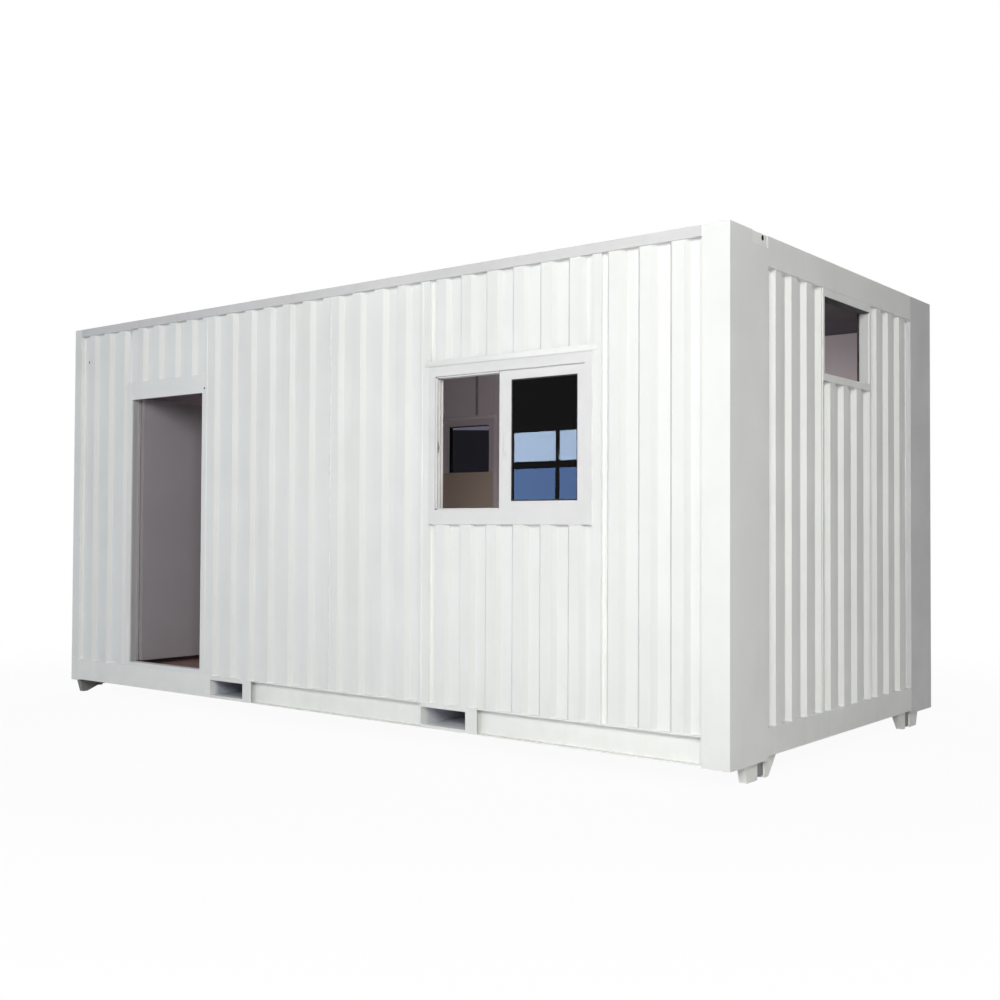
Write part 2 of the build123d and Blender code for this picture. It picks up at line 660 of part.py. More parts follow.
with BuildPart() as door_frame:
    frame_along = (DOOR_FRAME_LEFT, DOOR_FRAME_RIGHT)
    frame_height = (DOOR_SILL, DOOR_FRAME_TOP)
    block("front", frame_along, (SHEET_OUTER, LINING_DEPTH), frame_height)
    clear_height = (DOOR_SILL, DOOR_HEAD)
    block("front", (DOOR_LEFT, DOOR_RIGHT), (SHEET_OUTER, LINING_DEPTH), clear_height, mode=Mode.SUBTRACT)
    rebate_along = (DOOR_LEFT - DOOR_REBATE, DOOR_RIGHT + DOOR_REBATE)
    rebate_height = (DOOR_SILL, DOOR_HEAD + DOOR_REBATE)
    block("front", rebate_along, (DOOR_STOP_DEPTH, LINING_DEPTH), rebate_height, mode=Mode.SUBTRACT)
save(door_frame.part, "door_frame")

# ---------------------------------------------------------------- door leaf, modelled closed and swung open
PIVOT = on_wall("front", DOOR_LEFT - DOOR_REBATE, LINING_DEPTH + HINGE_RADIUS)
LEAF_BOTTOM = DOOR_SILL + LEAF_BOTTOM_GAP
LEAF_TOP = DOOR_HEAD + DOOR_REBATE - LEAF_TOP_GAP
LEAF_LEFT = DOOR_LEFT - DOOR_REBATE + LEAF_HINGE_GAP
LEAF_RIGHT = DOOR_RIGHT + DOOR_REBATE - LEAF_LATCH_GAP
LEAF_BACK = LINING_DEPTH
LEAF_FACE = LEAF_BACK - LEAF_THICKNESS
HINGE_AXIS = Axis((PIVOT[0], PIVOT[1], 0), (0, 0, 1))


def hinge_heights():
    """The height of the middle of each hinge."""
    lowest = LEAF_BOTTOM + HINGE_END
    spacing = (LEAF_TOP - HINGE_END - lowest) / (HINGE_COUNT - 1)
    return [lowest + index * spacing for index in range(HINGE_COUNT)]


with BuildPart() as door_leaf:
    block("front", (LEAF_LEFT, LEAF_RIGHT), (LEAF_FACE, LEAF_BACK), (LEAF_BOTTOM, LEAF_TOP))
save(door_leaf.part.rotate(HINGE_AXIS, LEAF_OPEN), "door_leaf")

with BuildPart() as door_hinges_fixed:
    for height in hinge_heights():
        flap_along = (DOOR_LEFT - DOOR_REBATE - HINGE_FLAP_WIDTH, DOOR_LEFT - DOOR_REBATE)
        flap_depth = (LINING_DEPTH, LINING_DEPTH + HINGE_FLAP)
        block("front", flap_along, flap_depth, (height - HINGE_HALF, height))
        with Locations((PIVOT[0], PIVOT[1], height - HINGE_HALF / 2)):
            Cylinder(HINGE_RADIUS, HINGE_HALF)
        with Locations((PIVOT[0], PIVOT[1], height)):
            Cylinder(HINGE_PIN, 2 * HINGE_HALF)
save(door_hinges_fixed.part, "door_hinges_fixed")

with BuildPart() as door_hinges_moving:
    for height in hinge_heights():
        knuckle = (height + HINGE_END_GAP, height + HINGE_HALF)
        flap_along = (DOOR_LEFT - DOOR_REBATE, DOOR_LEFT - DOOR_REBATE + HINGE_FLAP_WIDTH)
        block("front", flap_along, (LEAF_BACK, LEAF_BACK + HINGE_FLAP), knuckle)
        with Locations((PIVOT[0], PIVOT[1], sum(knuckle) / 2)):
            Cylinder(HINGE_RADIUS, knuckle[1] - knuckle[0])
        with Locations((PIVOT[0], PIVOT[1], height)):
            Cylinder(HINGE_PIN + HINGE_RUNNING, 4 * HINGE_HALF, mode=Mode.SUBTRACT)
save(door_hinges_moving.part.rotate(HINGE_AXIS, LEAF_OPEN), "door_hinges_moving")

with BuildPart() as door_handles:
    handle_along = LEAF_RIGHT - HANDLE_BACKSET
    handle_z = LEAF_BOTTOM + HANDLE_HEIGHT
    for face, outward in ((LEAF_FACE, -1), (LEAF_BACK, 1)):
        rose_x, rose_y = on_wall("front", handle_along, face + outward * ROSE_THICKNESS / 2)
        neck_x, neck_y = on_wall("front", handle_along, face + outward * NECK_LENGTH / 2)
        with Locations(Location((rose_x, rose_y, handle_z), (90, 0, 0))):
            Cylinder(ROSE_RADIUS, ROSE_THICKNESS)
        with Locations(Location((neck_x, neck_y, handle_z), (90, 0, 0))):
            Cylinder(NECK_RADIUS, NECK_LENGTH)
        lever_end = face + outward * NECK_LENGTH
        lever_depth = sorted((lever_end, lever_end - outward * LEVER_THICKNESS))
        lever_along = (handle_along - LEVER_LENGTH, handle_along + NECK_RADIUS)
        lever_height = (handle_z - LEVER_HEIGHT / 2, handle_z + LEVER_HEIGHT / 2)
        block("front", lever_along, lever_depth, lever_height)
save(door_handles.part.rotate(HINGE_AXIS, LEAF_OPEN), "door_handles")

# ---------------------------------------------------------------- front window
SASH_LEFT = WINDOW_RIGHT - WINDOW_SIDE - SASH_WIDTH
SASH_RIGHT = WINDOW_RIGHT - WINDOW_SIDE
SASH_BOTTOM = WINDOW_SILL + WINDOW_BOTTOM_RAIL
SASH_TOP = WINDOW_TOP - WINDOW_TOP_RAIL

with BuildPart() as window_frame:
    frame_depth = (WINDOW_FACE, WINDOW_BACK)
    frame_sides = (WINDOW_SIDE, WINDOW_SIDE)
    frame_along = (WINDOW_LEFT, WINDOW_RIGHT)
    frame_height = (WINDOW_SILL, WINDOW_TOP)
    ring("front", frame_along, frame_depth, frame_height, frame_sides, WINDOW_BOTTOM_RAIL, WINDOW_TOP_RAIL)
save(window_frame.part, "window_frame")

for name, face, stiles in (
    ("outer", OUTER_SASH_DEPTH, (SASH_MEETING_STILE, SASH_STILE)),
    ("inner", OUTER_SASH_DEPTH + SASH_SPACING, (SASH_STILE, SASH_STILE)),
):
    sash_along = (SASH_LEFT, SASH_RIGHT)
    sash_height = (SASH_BOTTOM, SASH_TOP)
    with BuildPart() as window_sash:
        sash_depth = (face, face + SASH_THICKNESS)
        ring("front", sash_along, sash_depth, sash_height, stiles, SASH_BOTTOM_RAIL, SASH_TOP_RAIL)
    save(window_sash.part, f"window_sash_{name}")
    with BuildPart() as window_glass:
        glass_along = (SASH_LEFT + stiles[0], SASH_RIGHT - stiles[1])
        middle = face + SASH_THICKNESS / 2
        glass_depth = (middle - GLASS / 2, middle + GLASS / 2)
        block("front", glass_along, glass_depth, (SASH_BOTTOM + SASH_BOTTOM_RAIL, SASH_TOP - SASH_TOP_RAIL))
    save(window_glass.part, f"window_glass_{name}")

# ---------------------------------------------------------------- right wall window, an open frame
with BuildPart() as end_window_frame:
    end_along = (END_WINDOW_LEFT, END_WINDOW_RIGHT)
    end_depth = (END_WINDOW_FACE, LINING_DEPTH)
    end_height = (END_WINDOW_SILL, END_WINDOW_TOP)
    end_sides = (END_WINDOW_SIDE, END_WINDOW_SIDE)
    ring("right", end_along, end_depth, end_height, end_sides, END_WINDOW_BOTTOM_RAIL, END_WINDOW_TOP_RAIL)
save(end_window_frame.part, "end_window_frame")

# ---------------------------------------------------------------- back window, a fixed pane
with BuildPart() as back_window_frame:
    back_along = (BACK_WINDOW_LEFT, BACK_WINDOW_RIGHT)
    ring("back", back_along, frame_depth, frame_height, frame_sides, WINDOW_BOTTOM_RAIL, WINDOW_TOP_RAIL)
save(back_window_frame.part, "back_window_frame")

with BuildPart() as back_window_glass:
    pane_along = (BACK_WINDOW_LEFT + WINDOW_SIDE, BACK_WINDOW_RIGHT - WINDOW_SIDE)
    pane_depth = (BACK_GLASS_DEPTH, BACK_GLASS_DEPTH + GLASS)
    block("back", pane_along, pane_depth, (SASH_BOTTOM, SASH_TOP))
save(back_window_glass.part, "back_window_glass")

# ---------------------------------------------------------------- linings
LINING_HEIGHT = (DECK_TOP, CEILING)
LINING_START = LINING_DEPTH - LINING

with BuildPart() as front_lining:
    lining_boards("front", (LINING_START, DOOR_FRAME_LEFT), LINING_HEIGHT)
    lining_boards("front", (DOOR_FRAME_LEFT + LINING_JOINT, DOOR_FRAME_RIGHT), (DOOR_FRAME_TOP, CEILING))
    lining_boards("front", (DOOR_FRAME_RIGHT + LINING_JOINT, WINDOW_LEFT), LINING_HEIGHT)
    lining_boards("front", (WINDOW_LEFT + LINING_JOINT, WINDOW_RIGHT), (DECK_TOP, WINDOW_SILL))
    lining_boards("front", (WINDOW_LEFT + LINING_JOINT, WINDOW_RIGHT), (WINDOW_TOP, CEILING))
    lining_boards("front", (WINDOW_RIGHT + LINING_JOINT, LENGTH - LINING_START), LINING_HEIGHT)
save(front_lining.part, "front_lining")

with BuildPart() as back_lining:
    lining_boards("back", (LINING_START, BACK_WINDOW_LEFT), LINING_HEIGHT)
    lining_boards("back", (BACK_WINDOW_LEFT + LINING_JOINT, BACK_WINDOW_RIGHT), (DECK_TOP, WINDOW_SILL))
    lining_boards("back", (BACK_WINDOW_LEFT + LINING_JOINT, BACK_WINDOW_RIGHT), (WINDOW_TOP, CEILING))
    lining_boards("back", (BACK_WINDOW_RIGHT + LINING_JOINT, LENGTH - LINING_START), LINING_HEIGHT)
save(back_lining.part, "back_lining")

with BuildPart() as left_lining:
    lining_boards("left", (LINING_DEPTH, WIDTH - LINING_DEPTH), LINING_HEIGHT)
save(left_lining.part, "left_lining")

with BuildPart() as right_lining:
    lining_boards("right", (LINING_DEPTH, END_WINDOW_LEFT), LINING_HEIGHT)
    lining_boards("right", (END_WINDOW_LEFT + LINING_JOINT, END_WINDOW_RIGHT), (DECK_TOP, END_WINDOW_SILL))
    lining_boards("right", (END_WINDOW_RIGHT + LINING_JOINT, WIDTH - LINING_DEPTH), LINING_HEIGHT)
save(right_lining.part, "right_lining")
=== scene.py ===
"""Looks of the shipping container cabin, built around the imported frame.

Lengths are metres. X runs along the cabin, Y from the door side to the back, Z up.
"""

import json
import math

import bmesh
import bpy
from mathutils import Matrix, Vector


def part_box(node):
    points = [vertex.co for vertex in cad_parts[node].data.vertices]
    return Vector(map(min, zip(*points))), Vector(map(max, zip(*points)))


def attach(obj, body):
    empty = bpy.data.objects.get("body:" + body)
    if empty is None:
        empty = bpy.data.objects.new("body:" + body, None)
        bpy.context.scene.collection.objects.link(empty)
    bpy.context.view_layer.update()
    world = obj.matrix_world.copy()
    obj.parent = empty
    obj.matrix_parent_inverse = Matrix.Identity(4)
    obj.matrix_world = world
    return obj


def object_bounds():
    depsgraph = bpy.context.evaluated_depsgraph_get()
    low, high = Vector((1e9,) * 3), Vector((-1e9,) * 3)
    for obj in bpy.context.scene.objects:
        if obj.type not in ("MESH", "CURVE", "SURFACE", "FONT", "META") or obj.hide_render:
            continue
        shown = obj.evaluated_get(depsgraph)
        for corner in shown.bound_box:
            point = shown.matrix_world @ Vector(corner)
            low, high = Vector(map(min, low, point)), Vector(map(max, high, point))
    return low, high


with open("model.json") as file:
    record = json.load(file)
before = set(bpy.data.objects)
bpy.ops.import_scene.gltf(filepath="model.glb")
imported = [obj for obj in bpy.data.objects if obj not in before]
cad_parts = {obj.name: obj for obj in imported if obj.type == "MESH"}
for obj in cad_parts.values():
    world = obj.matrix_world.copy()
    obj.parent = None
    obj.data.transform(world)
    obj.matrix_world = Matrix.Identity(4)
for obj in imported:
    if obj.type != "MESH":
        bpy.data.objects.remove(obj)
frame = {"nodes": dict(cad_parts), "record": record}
CAD_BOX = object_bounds()

# ---------------------------------------------------------------- camera
CAMERA_PLACE = Vector((6.0503, -7.2811, 1.3674))
CAMERA_TURN = math.radians(-38.367)
CAMERA_RISE = math.radians(1.3235)
CAMERA_ROLL = math.radians(0.2638)
CAMERA_LENS = 43.94
CAMERA_SENSOR = 36.0


def make_camera():
    """The camera at the height of a standing person's chest, off the cabin's right front corner."""
    level = math.cos(CAMERA_RISE)
    rise = math.sin(CAMERA_RISE)
    forward = Vector((math.sin(CAMERA_TURN) * level, math.cos(CAMERA_TURN) * level, rise))
    flat_right = forward.cross(Vector((0, 0, 1))).normalized()
    flat_up = flat_right.cross(forward)
    right = flat_right * math.cos(CAMERA_ROLL) + flat_up * math.sin(CAMERA_ROLL)
    up = flat_up * math.cos(CAMERA_ROLL) - flat_right * math.sin(CAMERA_ROLL)
    data = bpy.data.cameras.new("camera")
    data.lens = CAMERA_LENS
    data.sensor_width = CAMERA_SENSOR
    data.clip_end = 200
    camera = bpy.data.objects.new("camera", data)
    bpy.context.scene.collection.objects.link(camera)
    turn = Matrix((right, up, -forward)).transposed()
    camera.matrix_world = Matrix.Translation(CAMERA_PLACE) @ turn.to_4x4()
    bpy.context.scene.camera = camera


make_camera()


# ---------------------------------------------------------------- material helpers
class Look:
    """A material being built: its nodes, links and shader."""

    def __init__(self, name):
        self.material = bpy.data.materials.new(name)
        self.material.use_nodes = True
        self.nodes = self.material.node_tree.nodes
        self.links = self.material.node_tree.links
        self.shader = self.nodes["Principled BSDF"]
        coordinates = self.nodes.new("ShaderNodeTexCoord")
        self.place = coordinates.outputs["Object"]
        self.facing = coordinates.outputs["Normal"]

    def stretched(self, scale):
        """The place on the object, stretched by a scale in each direction."""
        mapping = self.nodes.new("ShaderNodeMapping")
        mapping.inputs["Scale"].default_value = scale
        self.links.new(self.place, mapping.inputs["Vector"])
        return mapping.outputs["Vector"]

    def noise(self, scale, detail=4.0, roughness=0.55, stretch=(1, 1, 1), warp=0.0):
        """A cloudy value from 0 to 1."""
        node = self.nodes.new("ShaderNodeTexNoise")
        node.inputs["Scale"].default_value = scale
        node.inputs["Detail"].default_value = detail
        node.inputs["Roughness"].default_value = roughness
        node.inputs["Distortion"].default_value = warp
        self.links.new(self.stretched(stretch), node.inputs["Vector"])
        return node.outputs["Fac"]

    def axis(self, name, vector=None):
        """The place along one axis, in metres, or that part of another vector."""
        node = self.nodes.new("ShaderNodeSeparateXYZ")
        self.links.new(vector or self.place, node.inputs["Vector"])
        return node.outputs[name]

    def spread(self, value, low, high, start=0.0, end=1.0, smooth=False):
        """Value mapped from low..high to start..end, held at both ends."""
        node = self.nodes.new("ShaderNodeMapRange")
        node.clamp = True
        if smooth:
            node.interpolation_type = "SMOOTHSTEP"
        node.inputs["From Min"].default_value = low
        node.inputs["From Max"].default_value = high
        node.inputs["To Min"].default_value = start
        node.inputs["To Max"].default_value = end
        self.links.new(value, node.inputs["Value"])
        return node.outputs["Result"]

    def math(self, operation, first, second):
        """Two values joined by one arithmetic operation."""
        node = self.nodes.new("ShaderNodeMath")
        node.operation = operation
        for index, value in enumerate((first, second)):
            if isinstance(value, (int, float)):
                node.inputs[index].default_value = value
            else:
                self.links.new(value, node.inputs[index])
        return node.outputs["Value"]

    def blend(self, amount, under, over):
        """Colour under, covered by colour over where amount is 1."""
        node = self.nodes.new("ShaderNodeMix")
        node.data_type = "RGBA"
        self.links.new(amount, node.inputs["Factor"])
        for socket, value in ((node.inputs["A"], under), (node.inputs["B"], over)):
            if isinstance(value, tuple):
                socket.default_value = (*value, 1.0)
            else:
                self.links.new(value, socket)
        return node.outputs["Result"]

    def finish(self, colour, roughness, heights, metallic=0.0, specular=0.5):
        """Joins up the shader. Heights is a list of (value, depth in metres)."""
        self.links.new(colour, self.shader.inputs["Base Color"])
        self.links.new(roughness, self.shader.inputs["Roughness"])
        self.shader.inputs["Metallic"].default_value = metallic
        self.shader.inputs["Specular IOR Level"].default_value = specular
        normal = None
        for value, depth in heights:
            bump = self.nodes.new("ShaderNodeBump")
            bump.inputs["Strength"].default_value = 1.0
            bump.inputs["Distance"].default_value = depth
            self.links.new(value, bump.inputs["Height"])
            if normal is not None:
                self.links.new(normal, bump.inputs["Normal"])
            normal = bump.outputs["Normal"]
        if normal is not None:
            self.links.new(normal, self.shader.inputs["Normal"])
        return self.material


LOW_DUST = 0.16


def wall_paint(name, tone, shade, grime, streaks=0.10, inside=None, x_face_shade=None):
    """Satin paint on steel: faint clouds, rain streaks, dust near the ground and a sprayed grain.

    The inner colour, as (colour, axis, distance, fade), is the colour of what lies nearer the
    cabin's middle than the distance along the axis, or with a distance of 0, of what lies on its
    negative side. In reveals, pockets and feet it is painted shade.
    The last argument is a painted shade: the colour given to faces that look along +X.
    """
    look = Look(name)
    clouds = look.spread(look.noise(1.6, detail=5.0), 0.3, 0.7)
    colour = look.blend(clouds, tone, shade)
    # The inner colour: painted shade in the door and end-window reveals, the fork pockets and the
    # left feet, and the back window frame's room-side tone.
    if inside:
        inner, axis, distance, fade = inside
        across = look.axis(axis)
        if distance > 0:
            across = look.math("ABSOLUTE", across, 0.0)
        within = look.spread(across, distance - fade, distance + fade, 1.0, 0.0, smooth=True)
        colour = look.blend(within, colour, inner)
    runs = look.noise(7.0, detail=6.0, roughness=0.62, stretch=(1.0, 1.0, 0.07))
    runs = look.spread(runs, 0.56, 0.74, 0.0, streaks)
    colour = look.blend(runs, colour, grime)
    near_ground = look.spread(look.axis("Z"), 0.05, 0.62, LOW_DUST, 0.0, smooth=True)
    patches = look.spread(look.noise(5.0, detail=6.0, roughness=0.7), 0.38, 0.70)
    colour = look.blend(look.math("MULTIPLY", near_ground, patches), colour, grime)
    # Painted shade on faces that look along +X, darkening the ridge slopes that the key light
    # brightens.
    if x_face_shade:
        colour = look.blend(look.spread(look.axis("X", look.facing), 0.25, 0.6), colour, x_face_shade)
    gloss = look.spread(look.noise(3.2, detail=4.0), 0.3, 0.7, 0.44, 0.58)
    grain = look.noise(420.0, detail=2.0)
    dents = look.noise(1.15, detail=1.0, stretch=(1.0, 1.0, 0.55))
    return look.finish(colour, gloss, [(dents, 0.006), (grain, 0.00012)], specular=0.4)


def powder_coat(name, tone, shade):
    """Powder coat on aluminium: an even colour with a very fine orange peel."""
    look = Look(name)
    colour = look.blend(look.spread(look.noise(5.0, detail=4.0), 0.3, 0.7), tone, shade)
    gloss = look.spread(look.noise(14.0, detail=3.0), 0.3, 0.7, 0.32, 0.46)
    grain = look.noise(640.0, detail=2.0)
    return look.finish(colour, gloss, [(grain, 0.00008)], specular=0.45)


def wall_board(name, tone, shade):
    """Matt wall board: broad clouds, scuffs low down and a fine paper grain."""
    look = Look(name)
    colour = look.blend(look.spread(look.noise(1.2, detail=5.0), 0.3, 0.7), tone, shade)
    scuffs = look.noise(16.0, detail=6.0, roughness=0.7, stretch=(1, 1, 0.5))
    scuffs = look.spread(scuffs, 0.62, 0.76, 0.0, 0.25)
    low_down = look.spread(look.axis("Z"), 0.3, 1.4, 1.0, 0.15)
    scuffed = tuple(part * 0.6 for part in shade)
    colour = look.blend(look.math("MULTIPLY", scuffs, low_down), colour, scuffed)
    gloss = look.spread(look.noise(6.0), 0.3, 0.7, 0.62, 0.78)
    grain = look.noise(520.0, detail=3.0)
    return look.finish(colour, gloss, [(grain, 0.00010)], specular=0.3)


def deck_board(name):
    """Red-brown sealed floor board: grain along the cabin, worn paler in patches."""
    look = Look(name)
    grain = look.noise(9.0, detail=8.0, roughness=0.65, stretch=(0.35, 5.0, 5.0), warp=0.4)
    bands = look.spread(grain, 0.34, 0.68)
    colour = look.blend(bands, (0.200, 0.115, 0.105), (0.380, 0.250, 0.230))
    worn = look.spread(look.noise(2.3, detail=6.0, roughness=0.7), 0.52, 0.72, 0.0, 0.45)
    colour = look.blend(worn, colour, (0.40, 0.30, 0.27))
    gloss = look.spread(look.noise(7.0, detail=5.0), 0.3, 0.7, 0.42, 0.66)
    return look.finish(colour, gloss, [(grain, 0.0006)], specular=0.35)


def primer(name):
    """Grey primer on the steel under the floor, with rust specks and dust."""
    look = Look(name)
    clouds = look.spread(look.noise(4.0, detail=6.0), 0.3, 0.7)
    colour = look.blend(clouds, (0.20, 0.205, 0.215), (0.30, 0.30, 0.31))
    rust = look.spread(look.noise(34.0, detail=6.0, roughness=0.7), 0.66, 0.74, 0.0, 0.8)
    colour = look.blend(rust, colour, (0.16, 0.075, 0.04))
    gloss = look.spread(look.noise(12.0), 0.3, 0.7, 0.55, 0.8)
    return look.finish(colour, gloss, [(look.noise(180.0, detail=4.0), 0.0003)], specular=0.3)


def brushed_metal(name):
    """Brushed stainless steel, with a fine grain along its length."""
    look = Look(name)
    grain = look.noise(260.0, detail=3.0, stretch=(0.12, 1.0, 1.0))
    colour = look.blend(look.spread(grain, 0.3, 0.7), (0.46, 0.46, 0.47), (0.62, 0.62, 0.63))
    gloss = look.spread(look.noise(24.0, detail=4.0), 0.3, 0.7, 0.26, 0.42)
    return look.finish(colour, gloss, [(grain, 0.00006)], metallic=1.0)


def seal_rubber(name):
    """Black window rubber, dusty in places."""
    look = Look(name)
    dust = look.spread(look.noise(60.0, detail=5.0), 0.45, 0.75)
    colour = look.blend(dust, (0.018, 0.018, 0.020), (0.06, 0.058, 0.055))
    gloss = look.spread(look.noise(40.0), 0.3, 0.7, 0.5, 0.75)
    return look.finish(colour, gloss, [(look.noise(300.0), 0.0002)], specular=0.35)


def sealant(name):
    """White sealant along joints, slightly yellowed."""
    look = Look(name)
    clouds = look.spread(look.noise(20.0, detail=5.0), 0.3, 0.7)
    colour = look.blend(clouds, (0.80, 0.80, 0.77), (0.66, 0.66, 0.62))
    gloss = look.spread(look.noise(30.0), 0.3, 0.7, 0.4, 0.6)
    return look.finish(colour, gloss, [(look.noise(55.0, detail=3.0), 0.0008)], specular=0.4)


def tinted_glass(name):
    """Near-black tinted window glass, faintly blue, with a little dust on its face."""
    look = Look(name)
    clouds = look.spread(look.noise(2.0), 0.3, 0.7)
    tint = look.blend(clouds, (0.0100, 0.0098, 0.0130), (0.0125, 0.0120, 0.0165))
    gloss = look.spread(look.noise(9.0, detail=6.0, roughness=0.7), 0.45, 0.8, 0.0, 0.03)
    material = look.finish(tint, gloss, [(look.noise(1.2, detail=1.0), 0.00025)])
    look.shader.inputs["Transmission Weight"].default_value = 1.0
    look.shader.inputs["IOR"].default_value = 1.18
    return material


# Each paint is its tone, its shade and its grime.
PAINT = ((0.84, 0.86, 0.845), (0.79, 0.81, 0.795), (0.50, 0.48, 0.43))
RAIL_PAINT = ((0.68, 0.68, 0.685), (0.63, 0.63, 0.635), (0.42, 0.41, 0.38))
# A lighter copy of the white paint: painted highlight on the bottom rail, the lugs and the feet.
HIGHLIGHT_PAINT = ((0.89, 0.905, 0.88), (0.85, 0.865, 0.845), (0.55, 0.53, 0.48))
# A darker grey copy of the white paint: painted shade on the back posts and the lug notch ends.
SHADED_PAINT = ((0.67, 0.67, 0.685), (0.62, 0.62, 0.635), (0.40, 0.39, 0.38))
DOOR_PAINT = ((0.355, 0.337, 0.36), (0.32, 0.30, 0.325), (0.24, 0.23, 0.23))
LOOKS = {
    "white_paint": wall_paint("satin_white_paint", *PAINT),
    "window_frame": powder_coat("white_powder_coat", (0.755, 0.755, 0.75), (0.71, 0.71, 0.705)),
    "door_panel": wall_paint("grey_door_paint", *DOOR_PAINT, streaks=0.05),
    "glass": tinted_glass("tinted_glass"),
    "lining": wall_board("wall_board", (0.78, 0.70, 0.735), (0.72, 0.64, 0.675)),
    "ceiling": wall_board("ceiling_board", (0.14, 0.14, 0.15), (0.12, 0.12, 0.13)),
    "floor": deck_board("sealed_floor_board"),
    "underframe": primer("grey_primer"),
    "hardware": brushed_metal("brushed_steel"),
}
RUBBER = seal_rubber("window_rubber")
SEALANT = sealant("joint_sealant")
SHADE_FILL = powder_coat("grey_fill", (0.20, 0.20, 0.205), (0.14, 0.14, 0.145))
JOINT_STRIP = wall_board("joint_strip", (0.36, 0.32, 0.335), (0.30, 0.27, 0.28))
YELLOWED_BOARD = wall_board("yellowed_board", (0.61, 0.50, 0.41), (0.56, 0.455, 0.37))
FRONT_SHEETS = (
    "front_sheet_left",
    "front_sheet_over_door",
    "front_sheets_middle",
    "front_sheet_right",
)
OTHER_LOOKS = {
    "top_rail_front": wall_paint("top_rail_paint", *RAIL_PAINT),
    "corner_post_back_right": wall_paint("back_post_paint", *SHADED_PAINT),
}
OTHER_LOOKS["top_rail_back"] = OTHER_LOOKS["top_rail_front"]
OTHER_LOOKS["corner_post_back_left"] = OTHER_LOOKS["corner_post_back_right"]
# Inner colours: painted shade on the left feet, in the door and end-window reveals and in the fork
# pockets; the back window frame's is its room-side tone.
for name, paint, inside in (
    ("bottom_rail_front", HIGHLIGHT_PAINT, None),
    ("lifting_lugs", HIGHLIGHT_PAINT, None),
    ("corner_feet", HIGHLIGHT_PAINT, ((0.19, 0.185, 0.19), "X", 0.0, 0.01)),
    ("door_frame", PAINT, ((0.45, 0.45, 0.46), "Y", 1.505, 0.006)),
    ("end_window_frame", PAINT, ((0.58, 0.59, 0.585), "X", 3.018, 0.006)),
    ("fork_pocket_left", PAINT, ((0.40, 0.44, 0.50), "Y", 1.46, 0.03)),
    ("fork_pocket_right", PAINT, ((0.62, 0.64, 0.69), "Y", 1.46, 0.03)),
    ("back_window_frame", PAINT, ((0.66, 0.58, 0.61), "Y", 1.462, 0.03)),
):
    OTHER_LOOKS[name] = wall_paint(name + "_paint", *paint, inside=inside)
# The front sheets get painted shade on their ridge slopes that look along +X, evening out the key
# light's stripes.
slope_shaded_front_paint = wall_paint("front_sheet_paint", *PAINT, x_face_shade=(0.725, 0.74, 0.73))
for name in (*FRONT_SHEETS, "front_sheets_window"):
    OTHER_LOOKS[name] = slope_shaded_front_paint

for row in frame["record"]["subparts"]:
    node = frame["nodes"][row["node"]]
    node.data.materials.clear()
    node.data.materials.append(OTHER_LOOKS.get(row["node"], LOOKS[row["material_slot"]]))


# ---------------------------------------------------------------- mesh helpers
BEAD_SIDES = 6
# The widest bevel, as a part of the thinnest side of its block.
WIDEST_BEVEL = 0.4
SHARPEST = math.radians(35)
# A bead's size waves by two sines of its place, whose speeds are in radians a metre.
FAST_WAVE = Vector((61, 47, 53))
SLOW_WAVE = Vector((23, 31, 19))
WAVE_SHIFT = 1.7
WAVE_PART = 0.07
# A screw head's outline, as parts of its radius.
SCREW_HEAD = ((1.0, 0.0), (1.0, 0.3), (0.8, 0.55), (0.45, 0.65), (0.4, 0.3))


